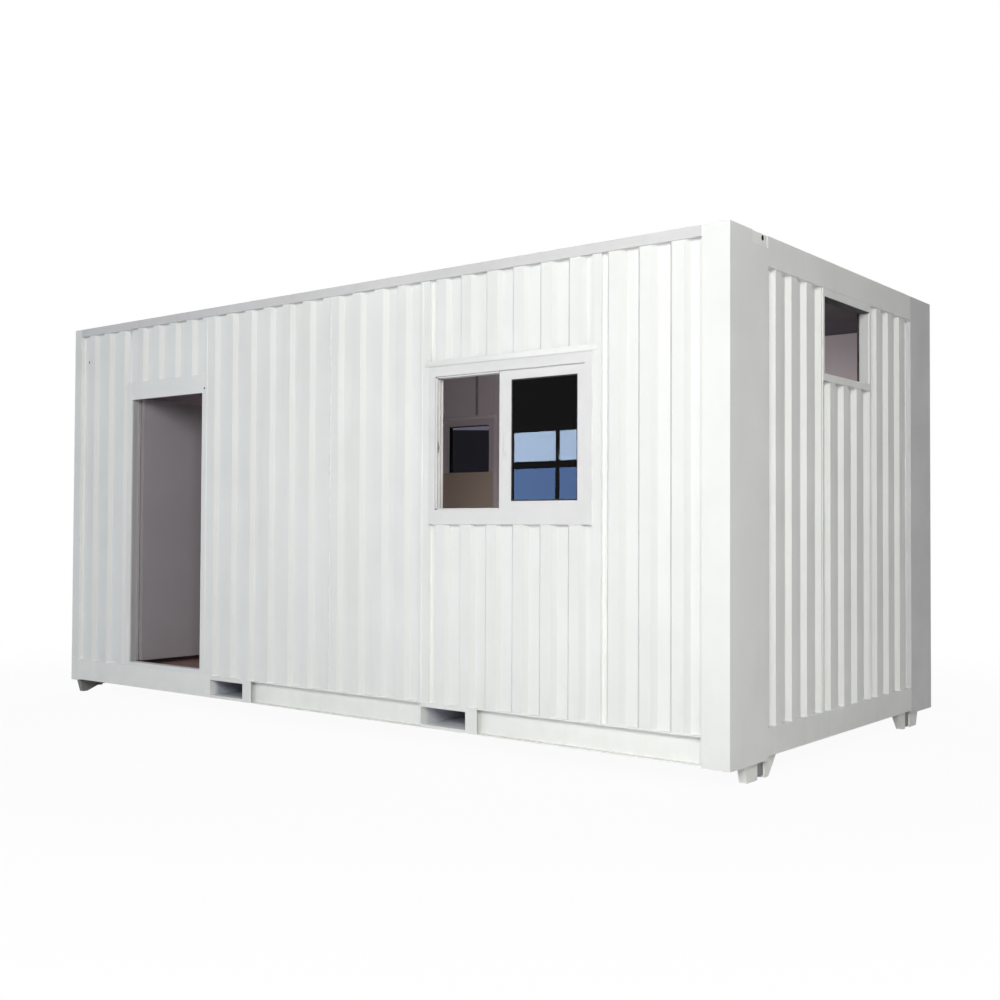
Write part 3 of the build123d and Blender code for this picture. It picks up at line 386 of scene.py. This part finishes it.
class Piece:
    """A mesh piece being built, which ends up riding on one of the cabin's bodies."""

    def __init__(self, name):
        self.name = name
        self.mesh = bmesh.new()

    def block(self, low, high, bevel=0.0012):
        """A box with rounded edges, between two opposite corners."""
        pairs = [sorted(pair) for pair in zip(low, high)]
        size = [pair[1] - pair[0] for pair in pairs]
        middle = Vector([(pair[0] + pair[1]) / 2 for pair in pairs])
        turn = Matrix.Translation(middle) @ Matrix.Diagonal((*size, 1.0))
        made = bmesh.ops.create_cube(self.mesh, size=1.0, matrix=turn)
        edges = list({edge for vertex in made["verts"] for edge in vertex.link_edges})
        width = min(bevel, min(size) * WIDEST_BEVEL)
        bmesh.ops.bevel(
            self.mesh, geom=edges, offset=width, segments=2, profile=0.5, affect="EDGES"
        )

    def bead(self, start, end, outward, radius, step=0.03):
        """A half-round bead of weld or sealant from start to end, slightly uneven."""
        start, end, outward = Vector(start), Vector(end), Vector(outward).normalized()
        side = (end - start).normalized().cross(outward)
        count = max(1, round((end - start).length / step))
        rings = []
        for index in range(count + 1):
            place = start.lerp(end, index / count)
            wave = math.sin(place.dot(FAST_WAVE)) + math.sin(place.dot(SLOW_WAVE) + WAVE_SHIFT)
            size = radius * (1 + WAVE_PART * wave)
            ring = []
            for part in range(BEAD_SIDES + 1):
                angle = math.pi * part / BEAD_SIDES
                offset = side * math.cos(angle) + outward * math.sin(angle)
                ring.append(self.mesh.verts.new(place + offset * size))
            rings.append(ring)
        for one, other in zip(rings, rings[1:]):
            for part in range(BEAD_SIDES + 1):
                after = (part + 1) % (BEAD_SIDES + 1)
                self.mesh.faces.new((one[part], one[after], other[after], other[part]))
        self.mesh.faces.new(rings[0])
        self.mesh.faces.new(list(reversed(rings[-1])))

    def turned(self, profile, place, axis, sides=24, hollow=False):
        """A turned shape from (radius, height) points, standing on a place along an axis.

        The two ends are closed, or where it is hollow, the last point joins the first.
        """
        turn = Vector(axis).to_track_quat("Z", "Y").to_matrix()
        rings = []
        for radius, height in profile:
            ring = []
            for side in range(sides):
                angle = 2 * math.pi * side / sides
                offset = Vector((radius * math.cos(angle), radius * math.sin(angle), height))
                ring.append(self.mesh.verts.new(Vector(place) + turn @ offset))
            rings.append(ring)
        for one, other in zip(rings, rings[1:] + rings[:1] if hollow else rings[1:]):
            for side in range(sides):
                after = (side + 1) % sides
                self.mesh.faces.new((one[side], one[after], other[after], other[side]))
        if hollow:
            return
        self.mesh.faces.new(list(reversed(rings[0])))
        self.mesh.faces.new(rings[-1])

    def screw(self, place, axis, radius=0.005):
        """A domed screw head with a small socket."""
        profile = [(radius * out, radius * up) for out, up in SCREW_HEAD]
        self.turned(profile, place, axis, sides=16)

    def done(self, material, body="cabin", slot=None):
        """The finished piece, in the scene and riding on its body."""
        bmesh.ops.recalc_face_normals(self.mesh, faces=self.mesh.faces)
        for face in self.mesh.faces:
            face.smooth = True
        for edge in self.mesh.edges:
            if len(edge.link_faces) == 2 and edge.calc_face_angle() > SHARPEST:
                edge.smooth = False
        data = bpy.data.meshes.new(self.name)
        self.mesh.to_mesh(data)
        self.mesh.free()
        data.materials.append(material)
        piece = bpy.data.objects.new(self.name, data)
        bpy.context.scene.collection.objects.link(piece)
        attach(piece, body)
        return piece


class Wall:
    """One wall: turns a place along it, a depth in and a height into a point, and back."""

    def __init__(self, along_axis, outward_sign):
        self.along_axis = along_axis
        self.across_axis = 1 - along_axis
        self.sign = outward_sign
        self.face = CAD_BOX[1 if outward_sign > 0 else 0][self.across_axis]
        self.outward = Vector((0, 0, 0))
        self.outward[self.across_axis] = outward_sign

    def point(self, along, depth, height):
        place = Vector((0, 0, height))
        place[self.along_axis] = along
        place[self.across_axis] = self.face - self.sign * depth
        return place

    def measured(self, place):
        return place[self.along_axis], self.sign * (self.face - place[self.across_axis])


WALLS = {"front": Wall(0, -1), "back": Wall(0, 1), "left": Wall(1, -1), "right": Wall(1, 1)}
UP = Vector((0, 0, 1))

# ---------------------------------------------------------------- welds along the sheets
WELD = 0.0035
SEAM_BEAD = 0.0045
SHEET_GAP = 0.003
LONGEST_RUN = 0.20
LONG_STEP = 0.06


def sheet_line(wall, name, height):
    """The outer line of a node's corrugated sheets at a height, as (along, depth) in order."""
    line = {}
    for vertex in frame["nodes"][name].data.vertices:
        if abs(vertex.co.z - height) < 0.0005:
            along, depth = wall.measured(vertex.co)
            along = round(along, 4)
            line[along] = min(depth, line.get(along, depth))
    return sorted(line.items())


def weld_sheet(welds, seams, side, name, low, high):
    """Welds at a sheet's foot, head and upright edges, and a sealed seam where two sheets meet."""
    wall = WALLS[side]
    line = sheet_line(wall, name, low)
    for (along_a, depth_a), (along_b, depth_b) in zip(line, line[1:]):
        if along_b - along_a < SHEET_GAP:
            middle = (along_a + along_b) / 2
            depth = min(depth_a, depth_b)
            start, end = wall.point(middle, depth, low), wall.point(middle, depth, high)
            seams.bead(start, end, wall.outward, SEAM_BEAD, LONG_STEP)
        elif along_b - along_a < LONGEST_RUN:
            for height, lean in ((low, UP), (high, -UP)):
                start = wall.point(along_a, depth_a, height)
                end = wall.point(along_b, depth_b, height)
                normal = (end - start).cross(UP).normalized()
                if normal.dot(wall.outward) < 0:
                    normal = -normal
                welds.bead(start, end, normal + lean, WELD)
    for along, depth in (line[0], line[-1]):
        start, end = wall.point(along, depth, low), wall.point(along, depth, high)
        welds.bead(start, end, wall.outward, WELD, LONG_STEP)


window_low, window_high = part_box("window_frame")
back_low, back_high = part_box("back_window_frame")
end_low, end_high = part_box("end_window_frame")
for side, names in (
    ("front", FRONT_SHEETS),
    ("left", ("left_sheets",)),
    ("right", ("right_sheets", "right_sheets_window")),
):
    welds, seams = Piece(side + "_wall_welds"), Piece(side + "_wall_seams")
    for name in names:
        low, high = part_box(name)
        weld_sheet(welds, seams, side, name, low.z, high.z)
    if side == "front":
        low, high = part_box("front_sheets_window")
        weld_sheet(welds, seams, side, "front_sheets_window", low.z, window_low.z)
        weld_sheet(welds, seams, side, "front_sheets_window", window_high.z, high.z)
    welds.done(LOOKS["white_paint"], slot="white_paint")
    if len(seams.mesh.verts):
        seams.done(SEALANT)
    else:
        seams.mesh.free()

welds, seams = Piece("back_wall_welds"), Piece("back_wall_seams")
low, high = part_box("back_sheets")
weld_sheet(welds, seams, "back", "back_sheets", low.z, high.z)
welds.done(LOOKS["white_paint"], slot="white_paint")
seams.done(SEALANT)

# ---------------------------------------------------------------- windows
GASKET_WIDTH = 0.008
GASKET_DEPTH = 0.0045


def gasket_frame(piece, low, high, near, far):
    """Four strips just inside the outline low to high, between two distances across the wall."""
    for x0, x1, z0, z1 in (
        (low.x, high.x, low.z, low.z + GASKET_WIDTH),
        (low.x, high.x, high.z - GASKET_WIDTH, high.z),
        (low.x, low.x + GASKET_WIDTH, low.z + GASKET_WIDTH, high.z - GASKET_WIDTH),
        (high.x - GASKET_WIDTH, high.x, low.z + GASKET_WIDTH, high.z - GASKET_WIDTH),
    ):
        piece.block((x0, near, z0), (x1, far, z1), 0.0015)


gaskets = Piece("window_gaskets")
for name in ("window_glass_outer", "window_glass_inner", "back_window_glass"):
    low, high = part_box(name)
    gasket_frame(gaskets, low, high, low.y - GASKET_DEPTH, low.y)
    gasket_frame(gaskets, low, high, high.y, high.y + GASKET_DEPTH)
gaskets.done(RUBBER)

# Tracks of the open half: the frame's width at its side, then one track's height and thickness.
FRAME_SIDE = 0.050
TRACK_HEIGHT = 0.011
TRACK_WIDTH = 0.0025
sash_low, sash_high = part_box("window_sash_outer")
opening_left = window_low.x + FRAME_SIDE
outer_back = sash_high.y
tracks = Piece("window_tracks")
for y in (sash_low.y - 0.005, outer_back + 0.003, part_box("window_sash_inner")[1].y + 0.004):
    for x1, z0, z1 in (
        (sash_low.x, sash_low.z, sash_low.z + TRACK_HEIGHT),
        (sash_low.x, sash_high.z - TRACK_HEIGHT, sash_high.z),
        (opening_left + TRACK_HEIGHT, sash_low.z, sash_high.z),
    ):
        tracks.block((opening_left, y, z0), (x1, y + TRACK_WIDTH, z1))
tracks.done(LOOKS["window_frame"], slot="window_frame")

# The catch and the pull sit at this part of the sash's height.
CATCH_PART = 0.47
CATCH_PLATE = 0.004
CATCH_HALF = 0.035
HOOK_HALF = 0.012
CATCH_SCREW = 0.0035
CATCH_SCREW_RISE = 0.026
catch = Piece("window_catch")
catch_z = sash_low.z + CATCH_PART * (sash_high.z - sash_low.z)
catch.block(
    (opening_left, sash_low.y, catch_z - CATCH_HALF),
    (opening_left + CATCH_PLATE, sash_high.y, catch_z + CATCH_HALF),
    0.002,
)
catch.block(
    (opening_left + 0.003, sash_low.y + 0.005, catch_z - HOOK_HALF),
    (opening_left + 0.013, sash_high.y - 0.004, catch_z + HOOK_HALF),
    0.003,
)
for rise in (CATCH_SCREW_RISE, -CATCH_SCREW_RISE):
    place = (opening_left + CATCH_PLATE, sash_low.y + 0.010, catch_z + rise)
    catch.screw(place, (1, 0, 0), CATCH_SCREW)
catch.done(LOOKS["hardware"], slot="hardware")

# The pull's plate and grip, as (half width, half height, near, far) from the sash's face.
PULL_PARTS = ((0.011, 0.075, -0.004, 0.001), (0.004, 0.055, -0.010, -0.003))
PULL_INSET = 0.045
pull = Piece("sash_pull")
pull_x = sash_low.x + PULL_INSET
for half_width, half_height, near, far in PULL_PARTS:
    pull.block(
        (pull_x - half_width, sash_low.y + near, catch_z - half_height),
        (pull_x + half_width, sash_low.y + far, catch_z + half_height),
        0.003,
    )
pull.done(LOOKS["window_frame"], slot="window_frame")

seal = Piece("window_sealant")
SEAL_DEPTH = 0.010
SEAL_RADIUS = 0.004
for side, low, high in (
    ("front", window_low, window_high),
    ("back", back_low, back_high),
    ("right", end_low, end_high),
):
    wall = WALLS[side]
    for corner, lean in ((low, -1), (high, 1)):
        along = corner[wall.along_axis]
        outward = wall.outward.copy()
        outward[wall.along_axis] = lean
        start, end = wall.point(along, SEAL_DEPTH, low.z), wall.point(along, SEAL_DEPTH, high.z)
        seal.bead(start, end, outward, SEAL_RADIUS)
seal.done(SEALANT)

END_SIDE = 0.020
END_TOP_RAIL = 0.050
END_BOTTOM_RAIL = 0.043
LINING_FACE = 0.085
wall = WALLS["right"]
end_left, end_right = end_low.y + END_SIDE, end_high.y - END_SIDE
end_bottom, end_top = end_low.z + END_BOTTOM_RAIL, end_high.z - END_TOP_RAIL
END_SEAL = 0.005
END_SEAL_FRONT = 0.004
END_SEAL_INNER = 0.072
end_seal = Piece("end_window_seal")
# The first strip, under the top rail from near its face back to the lining, is painted shade on the
# rail's underside; the other three, at the inner end of the reveal, are the rubber seal.
end_seal.block(
    wall.point(end_left, END_SEAL_FRONT, end_top - END_SEAL),
    wall.point(end_right, LINING_FACE, end_top),
)
for y, z, width, height in (
    (end_left, end_bottom, END_SEAL, end_top - end_bottom),
    (end_right - END_SEAL, end_bottom, END_SEAL, end_top - end_bottom),
    (end_left, end_bottom, end_right - end_left, END_SEAL),
):
    start = wall.point(y, END_SEAL_INNER, z)
    end_seal.block(start, wall.point(y + width, LINING_FACE, z + height))
end_seal.done(RUBBER)

STRIP_GAP = 0.0065
STRIP_REACH = 0.030
STRIP_BACK = 0.0098
STRIP_EDGE = 0.0008
# The strip's lip and its upright leaf, as (front, height).
STRIP_PARTS = ((0.0008, 0.003), (0.0078, 0.036))
STRIP_SCREWS = 7
STRIP_SCREW = 0.0045
STRIP_SCREW_RISE = 0.022
strip, strip_seal = Piece("window_drip_strips"), Piece("drip_strip_seals")
for side, low, high in (("front", window_low, window_high), ("back", back_low, back_high)):
    wall = WALLS[side]
    z = high.z + STRIP_GAP
    left, right = low.x - STRIP_REACH, high.x + STRIP_REACH
    strip_seal.block(
        wall.point(low.x, 0.0030, high.z + 0.0003),
        wall.point(high.x, 0.0097, z - 0.0002),
        STRIP_EDGE,
    )
    for depth, height in STRIP_PARTS:
        start, end = wall.point(left, depth, z), wall.point(right, STRIP_BACK, z + height)
        strip.block(start, end, STRIP_EDGE)
    for index in range(STRIP_SCREWS):
        x = low.x + (high.x - low.x) * index / (STRIP_SCREWS - 1)
        strip.screw(wall.point(x, 0.0080, z + STRIP_SCREW_RISE), wall.outward, STRIP_SCREW)
strip.done(LOOKS["white_paint"], slot="white_paint")
# The seals fill the gap under each drip strip in the greyer rail paint: a seal, and a painted
# shadow line.
strip_seal.done(OTHER_LOOKS["top_rail_front"], slot="white_paint")

# ---------------------------------------------------------------- doorway
leaf_low, leaf_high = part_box("door_leaf")
frame_low, frame_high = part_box("door_frame")
hinge_low, hinge_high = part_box("door_hinges_fixed")
handle_low, handle_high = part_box("door_handles")
hinge_joint = frame["record"]["behaviour"]["joints"][0]
PIVOT = Vector(hinge_joint["pos_m"])
KNUCKLE = 0.050
COVER = 0.0068
COVER_END = COVER * 0.9
COVER_CHAMFER = 0.0006
COVER_GAP = 0.001

cover = Piece("door_hinge_cover")
hinge_middles = [hinge_low.z + KNUCKLE, (hinge_low.z + hinge_high.z) / 2, hinge_high.z - KNUCKLE]
cover_start = leaf_low.z
for height in hinge_middles + [leaf_high.z + KNUCKLE + COVER_GAP]:
    length = height - KNUCKLE - COVER_GAP - cover_start
    profile = (
        (COVER_END, 0),
        (COVER, COVER_CHAMFER),
        (COVER, length - COVER_CHAMFER),
        (COVER_END, length),
    )
    cover.turned(profile, (PIVOT.x, PIVOT.y, cover_start), UP)
    cover_start = height + KNUCKLE + COVER_GAP
cover.done(LOOKS["door_panel"], slot="door_panel")

LINER = 0.003
REBATE = 0.012
STOP_DEPTH = 0.040
jamb_left = frame_low.x + LINER
jamb_right = frame_high.x - LINER
head = frame_high.z - LINER
wall = WALLS["front"]
SEAL_NEAR = 0.002
SEAL_FAR = 0.010
SEAL_THICKNESS = 0.002
seals = Piece("door_seals")
seal_back = STOP_DEPTH + SEAL_THICKNESS
for x0, x1, z0 in (
    (jamb_left + SEAL_NEAR, jamb_left + SEAL_FAR, frame_low.z),
    (jamb_right - SEAL_FAR, jamb_right - SEAL_NEAR, frame_low.z),
    (jamb_left + SEAL_FAR, jamb_right - SEAL_FAR, head - SEAL_FAR),
):
    seals.block(wall.point(x0, STOP_DEPTH, z0), wall.point(x1, seal_back, head - SEAL_NEAR), 0.0008)
seals.done(RUBBER)

# The threshold is a plate between two depths, with ribs that stand a little above it.
THRESHOLD_DEPTHS = (0.0125, 0.0400)
THRESHOLD_HEIGHT = 0.003
RIB_COUNT = 5
RIB_START = 0.017
RIB_SPACING = 0.0045
RIB_WIDTH = 0.0018
RIB_INSET = 0.004
RIB_HEIGHTS = (0.002, 0.0042)
threshold = Piece("door_threshold")
clear_left, clear_right = jamb_left + REBATE, jamb_right - REBATE
threshold.block(
    wall.point(clear_left, THRESHOLD_DEPTHS[0], frame_low.z),
    wall.point(clear_right, THRESHOLD_DEPTHS[1], frame_low.z + THRESHOLD_HEIGHT),
    0.001,
)
for index in range(RIB_COUNT):
    depth = RIB_START + index * RIB_SPACING
    threshold.block(
        wall.point(clear_left + RIB_INSET, depth, frame_low.z + RIB_HEIGHTS[0]),
        wall.point(clear_right - RIB_INSET, depth + RIB_WIDTH, frame_low.z + RIB_HEIGHTS[1]),
        0.0005,
    )
threshold.done(LOOKS["hardware"], slot="hardware")

handle_z = (handle_low.z + handle_high.z) / 2
BACKSET = 0.060
LOCK_DROP = 0.072
# The edge plate of the lock and the strike plate reach this far below and above the handle.
PLATE_DROP = 0.120
PLATE_RISE = 0.080
# The lock's rose and cylinder, as (radius, height off the leaf).
LOCK_ROSE = (
    (0.026, 0.0),
    (0.026, 0.005),
    (0.0245, 0.007),
    (0.010, 0.0075),
    (0.0095, 0.011),
    (0.0085, 0.0115),
)
locks = Piece("door_locks")
lock_y = leaf_high.y - BACKSET
lock_z = handle_z - LOCK_DROP
for x, axis in ((leaf_low.x, -1), (leaf_high.x, 1)):
    locks.turned(LOCK_ROSE, (x, lock_y, lock_z), (axis, 0, 0), sides=32)
    locks.block(
        (x + axis * 0.0112, lock_y - 0.001, lock_z - 0.005),
        (x + axis * 0.0122, lock_y + 0.001, lock_z + 0.005),
        0.0003,
    )
locks.block(
    (leaf_low.x + 0.009, leaf_high.y - 0.0002, handle_z - PLATE_DROP),
    (leaf_high.x - 0.009, leaf_high.y + 0.001, handle_z + PLATE_RISE),
    0.0005,
)
locks.done(LOOKS["hardware"], body="door", slot="hardware")

STRIKE_INSET = 0.014
STRIKE_WIDTH = 0.022
strike = Piece("door_strike_plate")
strike_depth = STOP_DEPTH + STRIKE_INSET
strike.block(
    wall.point(jamb_right - 0.001, strike_depth, handle_z - PLATE_DROP),
    wall.point(jamb_right + 0.0003, strike_depth + STRIKE_WIDTH, handle_z + PLATE_RISE),
    0.0004,
)
strike.done(LOOKS["hardware"], slot="hardware")

# ---------------------------------------------------------------- lifting lugs
LUG_BOTTOM = 2.927
LUG_FACE = 0.006
LUG_BACK = 0.018
# Where the packer and the notch's end lie along the wall, from the middle of the lug's hole.
PACKER_ALONG = (0.0482, 0.0538)
END_ALONG = (0.0531, 0.0539)
END_FACE = 0.0004
# The thin black tube in a lug's hole and the black disc behind it, as (radius, height): painted
# shade inside the hole.
HOLE_SHADE_TUBE = ((0.0149, 0), (0.0149, 0.0118), (0.0141, 0.0118), (0.0141, 0))
HOLE_SHADE_DISC = ((0.019, 0), (0.019, 0.002))
DISC_DEPTH = 0.0208
lug_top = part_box("lifting_lugs")[1].z - 0.001
packers, linings, ends = Piece("lug_packers"), Piece("lug_hole_linings"), Piece("lug_notch_ends")
for row in frame["record"]["mounts"]:
    if row["name"].startswith("lug"):
        side = WALLS["right" if row["axis"][0] > 0 else "left"]
        y, z = row["pos_m"][1:]
        packers.block(
            side.point(y + PACKER_ALONG[0], LUG_FACE, LUG_BOTTOM),
            side.point(y + PACKER_ALONG[1], LUG_BACK, lug_top),
        )
        ends.block(
            side.point(y + END_ALONG[0], END_FACE, LUG_BOTTOM),
            side.point(y + END_ALONG[1], LUG_FACE, lug_top),
            0.0002,
        )
        linings.turned(HOLE_SHADE_DISC, side.point(y, DISC_DEPTH, z), side.outward)
        linings.turned(HOLE_SHADE_TUBE, side.point(y, LUG_BACK, z), side.outward, hollow=True)
packers.done(LOOKS["white_paint"], slot="white_paint")
# The notch ends take the darker grey paint, painted shade on a step that the key light would make
# bright.
ends.done(OTHER_LOOKS["corner_post_back_right"], slot="white_paint")
linings.done(RUBBER)

# ---------------------------------------------------------------- feet
# Webs between the blocks of the right feet, in from the front or back face, dark as painted shade
# between the blocks.
WEB_ALONG = (0.363, 0.450)
WEB_HEIGHTS = (0.012, 0.125)
WEB_INSET = 0.016
WEB_THICKNESS = 0.006
web_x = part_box("corner_feet")[1].x - WEB_INSET
webs = Piece("foot_webs")
for name in ("front", "back"):
    side = WALLS[name]
    web_low, web_high = (side.point(0, depth, 0).y for depth in WEB_ALONG)
    webs.block((web_x, web_low, WEB_HEIGHTS[0]), (web_x + WEB_THICKNESS, web_high, WEB_HEIGHTS[1]))
webs.done(SHADE_FILL)

# Deeper cleats beside the left feet, as (near, far, bottom).
CLEATS = ((0.209, 0.250, 0.038), (0.249, 0.286, 0.048))
CLEAT_TOP = 0.085
CLEAT_IN = (0.001, 0.044)
cleat_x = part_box("corner_feet")[0].x
cleats = Piece("foot_cleats")
for name in ("front", "back"):
    side = WALLS[name]
    for near, far, bottom in CLEATS:
        near_y, far_y = side.point(0, near, 0).y, side.point(0, far, 0).y
        start = (cleat_x + CLEAT_IN[0], near_y, bottom)
        cleats.block(start, (cleat_x + CLEAT_IN[1], far_y, CLEAT_TOP))
# The cleats take the feet's paint, dark on the left: painted shade.
cleats.done(OTHER_LOOKS["corner_feet"], slot="white_paint")

# ---------------------------------------------------------------- plugs in old screw holes
# Each is (along, depth, height, radius) on the front wall.
PLUGS = ((-1.340, 0.010, 2.404, 0.007), (-2.879, 0.038, 2.725, 0.011))
plugs = Piece("wall_plugs")
side = WALLS["front"]
for along, depth, height, size in PLUGS:
    profile = ((size, 0), (size, 0.0015), (size * 0.75, 0.0030), (size * 0.3, 0.0034))
    plugs.turned(profile, side.point(along, depth, height), side.outward, sides=18)
plugs.done(RUBBER)

# ---------------------------------------------------------------- inside the room
room_wall = WALLS["back"]
ceiling_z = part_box("ceiling_lining")[0].z
trim = Piece("room_trim")
TRIM = 0.030
TRIM_DEPTH = 0.010
lining_y = room_wall.point(0, LINING_FACE, 0).y
for x0, x1, z0, z1 in (
    (back_low.x - TRIM, back_high.x + TRIM, back_high.z, back_high.z + TRIM),
    (back_low.x - TRIM, back_high.x + TRIM, back_low.z - TRIM, back_low.z),
    (back_low.x - TRIM, back_low.x, back_low.z, back_high.z),
    (back_high.x, back_high.x + TRIM, back_low.z, back_high.z),
):
    trim.block((x0, lining_y - TRIM_DEPTH, z0), (x1, lining_y, z1), 0.002)
trim.done(LOOKS["lining"], slot="lining")

BOARD_TOP = 1.885
board = Piece("back_window_board")
board.block(
    (back_low.x, lining_y - 0.001, back_low.z),
    (back_high.x, lining_y + 0.006, BOARD_TOP),
    0.001,
)
board.done(YELLOWED_BOARD, slot="lining")

BOARD_JOINT = -1.130
JOINT_HALF = 0.014
JOINT_DEPTH = 0.004
strips = Piece("board_joint_strips")
strips.block(
    (BOARD_JOINT - JOINT_HALF, lining_y - JOINT_DEPTH, back_high.z + TRIM),
    (BOARD_JOINT + JOINT_HALF, lining_y, ceiling_z),
    0.0015,
)
strips.done(JOINT_STRIP, slot="lining")

# ---------------------------------------------------------------- stage
def white_for_camera(nodes, links, dim):
    """Dim for light that falls on things, and 1 for what is seen, mirrored or seen through."""
    path = nodes.new("ShaderNodeLightPath")
    value = path.outputs["Is Camera Ray"]
    for other in ("Is Glossy Ray", "Is Transmission Ray"):
        either = nodes.new("ShaderNodeMath")
        either.operation = "MAXIMUM"
        links.new(value, either.inputs[0])
        links.new(path.outputs[other], either.inputs[1])
        value = either.outputs["Value"]
    level = nodes.new("ShaderNodeMapRange")
    level.inputs["To Min"].default_value = dim
    level.inputs["To Max"].default_value = 1.0
    links.new(value, level.inputs["Value"])
    return level.outputs["Result"]


def make_world():
    """A white surround that gives the cabin a weaker, even light."""
    world = bpy.data.worlds.new("studio")
    bpy.context.scene.world = world
    world.use_nodes = True
    nodes, links = world.node_tree.nodes, world.node_tree.links
    background = nodes["Background"]
    background.inputs["Color"].default_value = (1.0, 1.0, 1.0, 1.0)
    links.new(white_for_camera(nodes, links, WORLD_LIGHT), background.inputs["Strength"])


def make_floor():
    """A pale floor that keeps the cabin's shadow and fades to plain white far off."""
    mesh = bmesh.new()
    bmesh.ops.create_circle(mesh, cap_ends=True, segments=96, radius=60)
    data = bpy.data.meshes.new("studio_floor")
    mesh.to_mesh(data)
    mesh.free()
    floor = bpy.data.objects.new("studio_floor", data)
    bpy.context.scene.collection.objects.link(floor)
    floor.location = (0, 0, -0.002)
    paint = bpy.data.materials.new("studio_floor")
    paint.use_nodes = True
    nodes, links = paint.node_tree.nodes, paint.node_tree.links
    nodes.remove(nodes["Principled BSDF"])
    matt = nodes.new("ShaderNodeBsdfDiffuse")
    grain = nodes.new("ShaderNodeTexNoise")
    grain.inputs["Scale"].default_value = 3.0
    tone = nodes.new("ShaderNodeMapRange")
    tone.inputs["To Min"].default_value = 0.80
    tone.inputs["To Max"].default_value = 0.84
    links.new(grain.outputs["Fac"], tone.inputs["Value"])
    links.new(tone.outputs["Result"], matt.inputs["Color"])
    white = nodes.new("ShaderNodeEmission")
    place = nodes.new("ShaderNodeTexCoord")
    reach = nodes.new("ShaderNodeVectorMath")
    reach.operation = "LENGTH"
    links.new(place.outputs["Object"], reach.inputs[0])
    fade = nodes.new("ShaderNodeMapRange")
    fade.interpolation_type = "SMOOTHSTEP"
    fade.inputs["From Min"].default_value = 3.5
    fade.inputs["From Max"].default_value = 7.0
    fade.inputs["To Min"].default_value = FLOOR_WHITE
    fade.inputs["To Max"].default_value = 1.0
    links.new(reach.outputs["Value"], fade.inputs["Value"])
    amount = nodes.new("ShaderNodeMath")
    amount.operation = "MULTIPLY"
    links.new(white_for_camera(nodes, links, 0.0), amount.inputs[0])
    links.new(fade.outputs["Result"], amount.inputs[1])
    mixed = nodes.new("ShaderNodeMixShader")
    links.new(amount.outputs["Value"], mixed.inputs["Fac"])
    links.new(matt.outputs["BSDF"], mixed.inputs[1])
    links.new(white.outputs["Emission"], mixed.inputs[2])
    links.new(mixed.outputs["Shader"], nodes["Material Output"].inputs["Surface"])
    data.materials.append(paint)


def make_lamp(name, place, target, size, power, colour):
    """A soft lamp that faces a target and isn't seen itself."""
    data = bpy.data.lights.new(name, "AREA")
    data.shape = "RECTANGLE"
    data.size, data.size_y = size
    data.energy = power
    data.color = colour
    lamp = bpy.data.objects.new(name, data)
    bpy.context.scene.collection.objects.link(lamp)
    lamp.location = place
    lamp.rotation_euler = (Vector(target) - Vector(place)).to_track_quat("-Z", "Y").to_euler()
    lamp.visible_camera = False
    return lamp


# The world's strength on the cabin, and how white the floor looks close by (1 is plain white).
WORLD_LIGHT = 0.14
FLOOR_WHITE = 0.95
NEUTRAL = (1.0, 1.0, 1.0)
make_world()
make_floor()
make_lamp("key", (7.0, -9.0, 4.5), (0.6, 0.0, 1.4), (4.0, 3.0), 630.0, (1.0, 0.98, 0.955))
WARM = (1.0, 0.975, 0.925)
front_lamp = make_lamp("front", (1.0, -8.0, 4.0), (0.0, 0.0, 1.4), (12.0, 5.0), 112.0, WARM)
front_lamp.visible_glossy = False
make_lamp("back_fill", (-7.0, 9.0, 5.0), (0.0, 0.0, 1.4), (5.0, 4.0), 600.0, NEUTRAL)
make_lamp("room", (1.15, -1.0, 2.2), (1.15, 1.4, 1.9), (1.3, 0.8), 17.0, NEUTRAL)

# A window light: four panes between dark bars, far off at the front left.
WINDOW_LIGHT_Y = -25.0
WINDOW_LIGHT_X = (-16.58, -14.16)
WINDOW_LIGHT_Z = (2.19, 4.26)
BAR_X = (-15.05, -14.90)
BAR_Z = (3.16, 3.38)
UPPER_PANE = (78.0, (0.565, 0.738, 1.0))
LOWER_PANE = (34.0, (0.261, 0.474, 1.0))
for side, x0, x1 in (("left", WINDOW_LIGHT_X[0], BAR_X[0]), ("right", BAR_X[1], WINDOW_LIGHT_X[1])):
    for level, z0, z1, (light, colour) in (
        ("upper", BAR_Z[1], WINDOW_LIGHT_Z[1], UPPER_PANE),
        ("lower", WINDOW_LIGHT_Z[0], BAR_Z[0], LOWER_PANE),
    ):
        middle = Vector(((x0 + x1) / 2, WINDOW_LIGHT_Y, (z0 + z1) / 2))
        target = middle + Vector((0, 1, 0))
        size = (x1 - x0, z1 - z0)
        power = light * math.pi * size[0] * size[1]
        make_lamp(f"pane_{level}_{side}", middle, target, size, power, colour)

bpy.context.scene.view_settings.view_transform = "Standard"
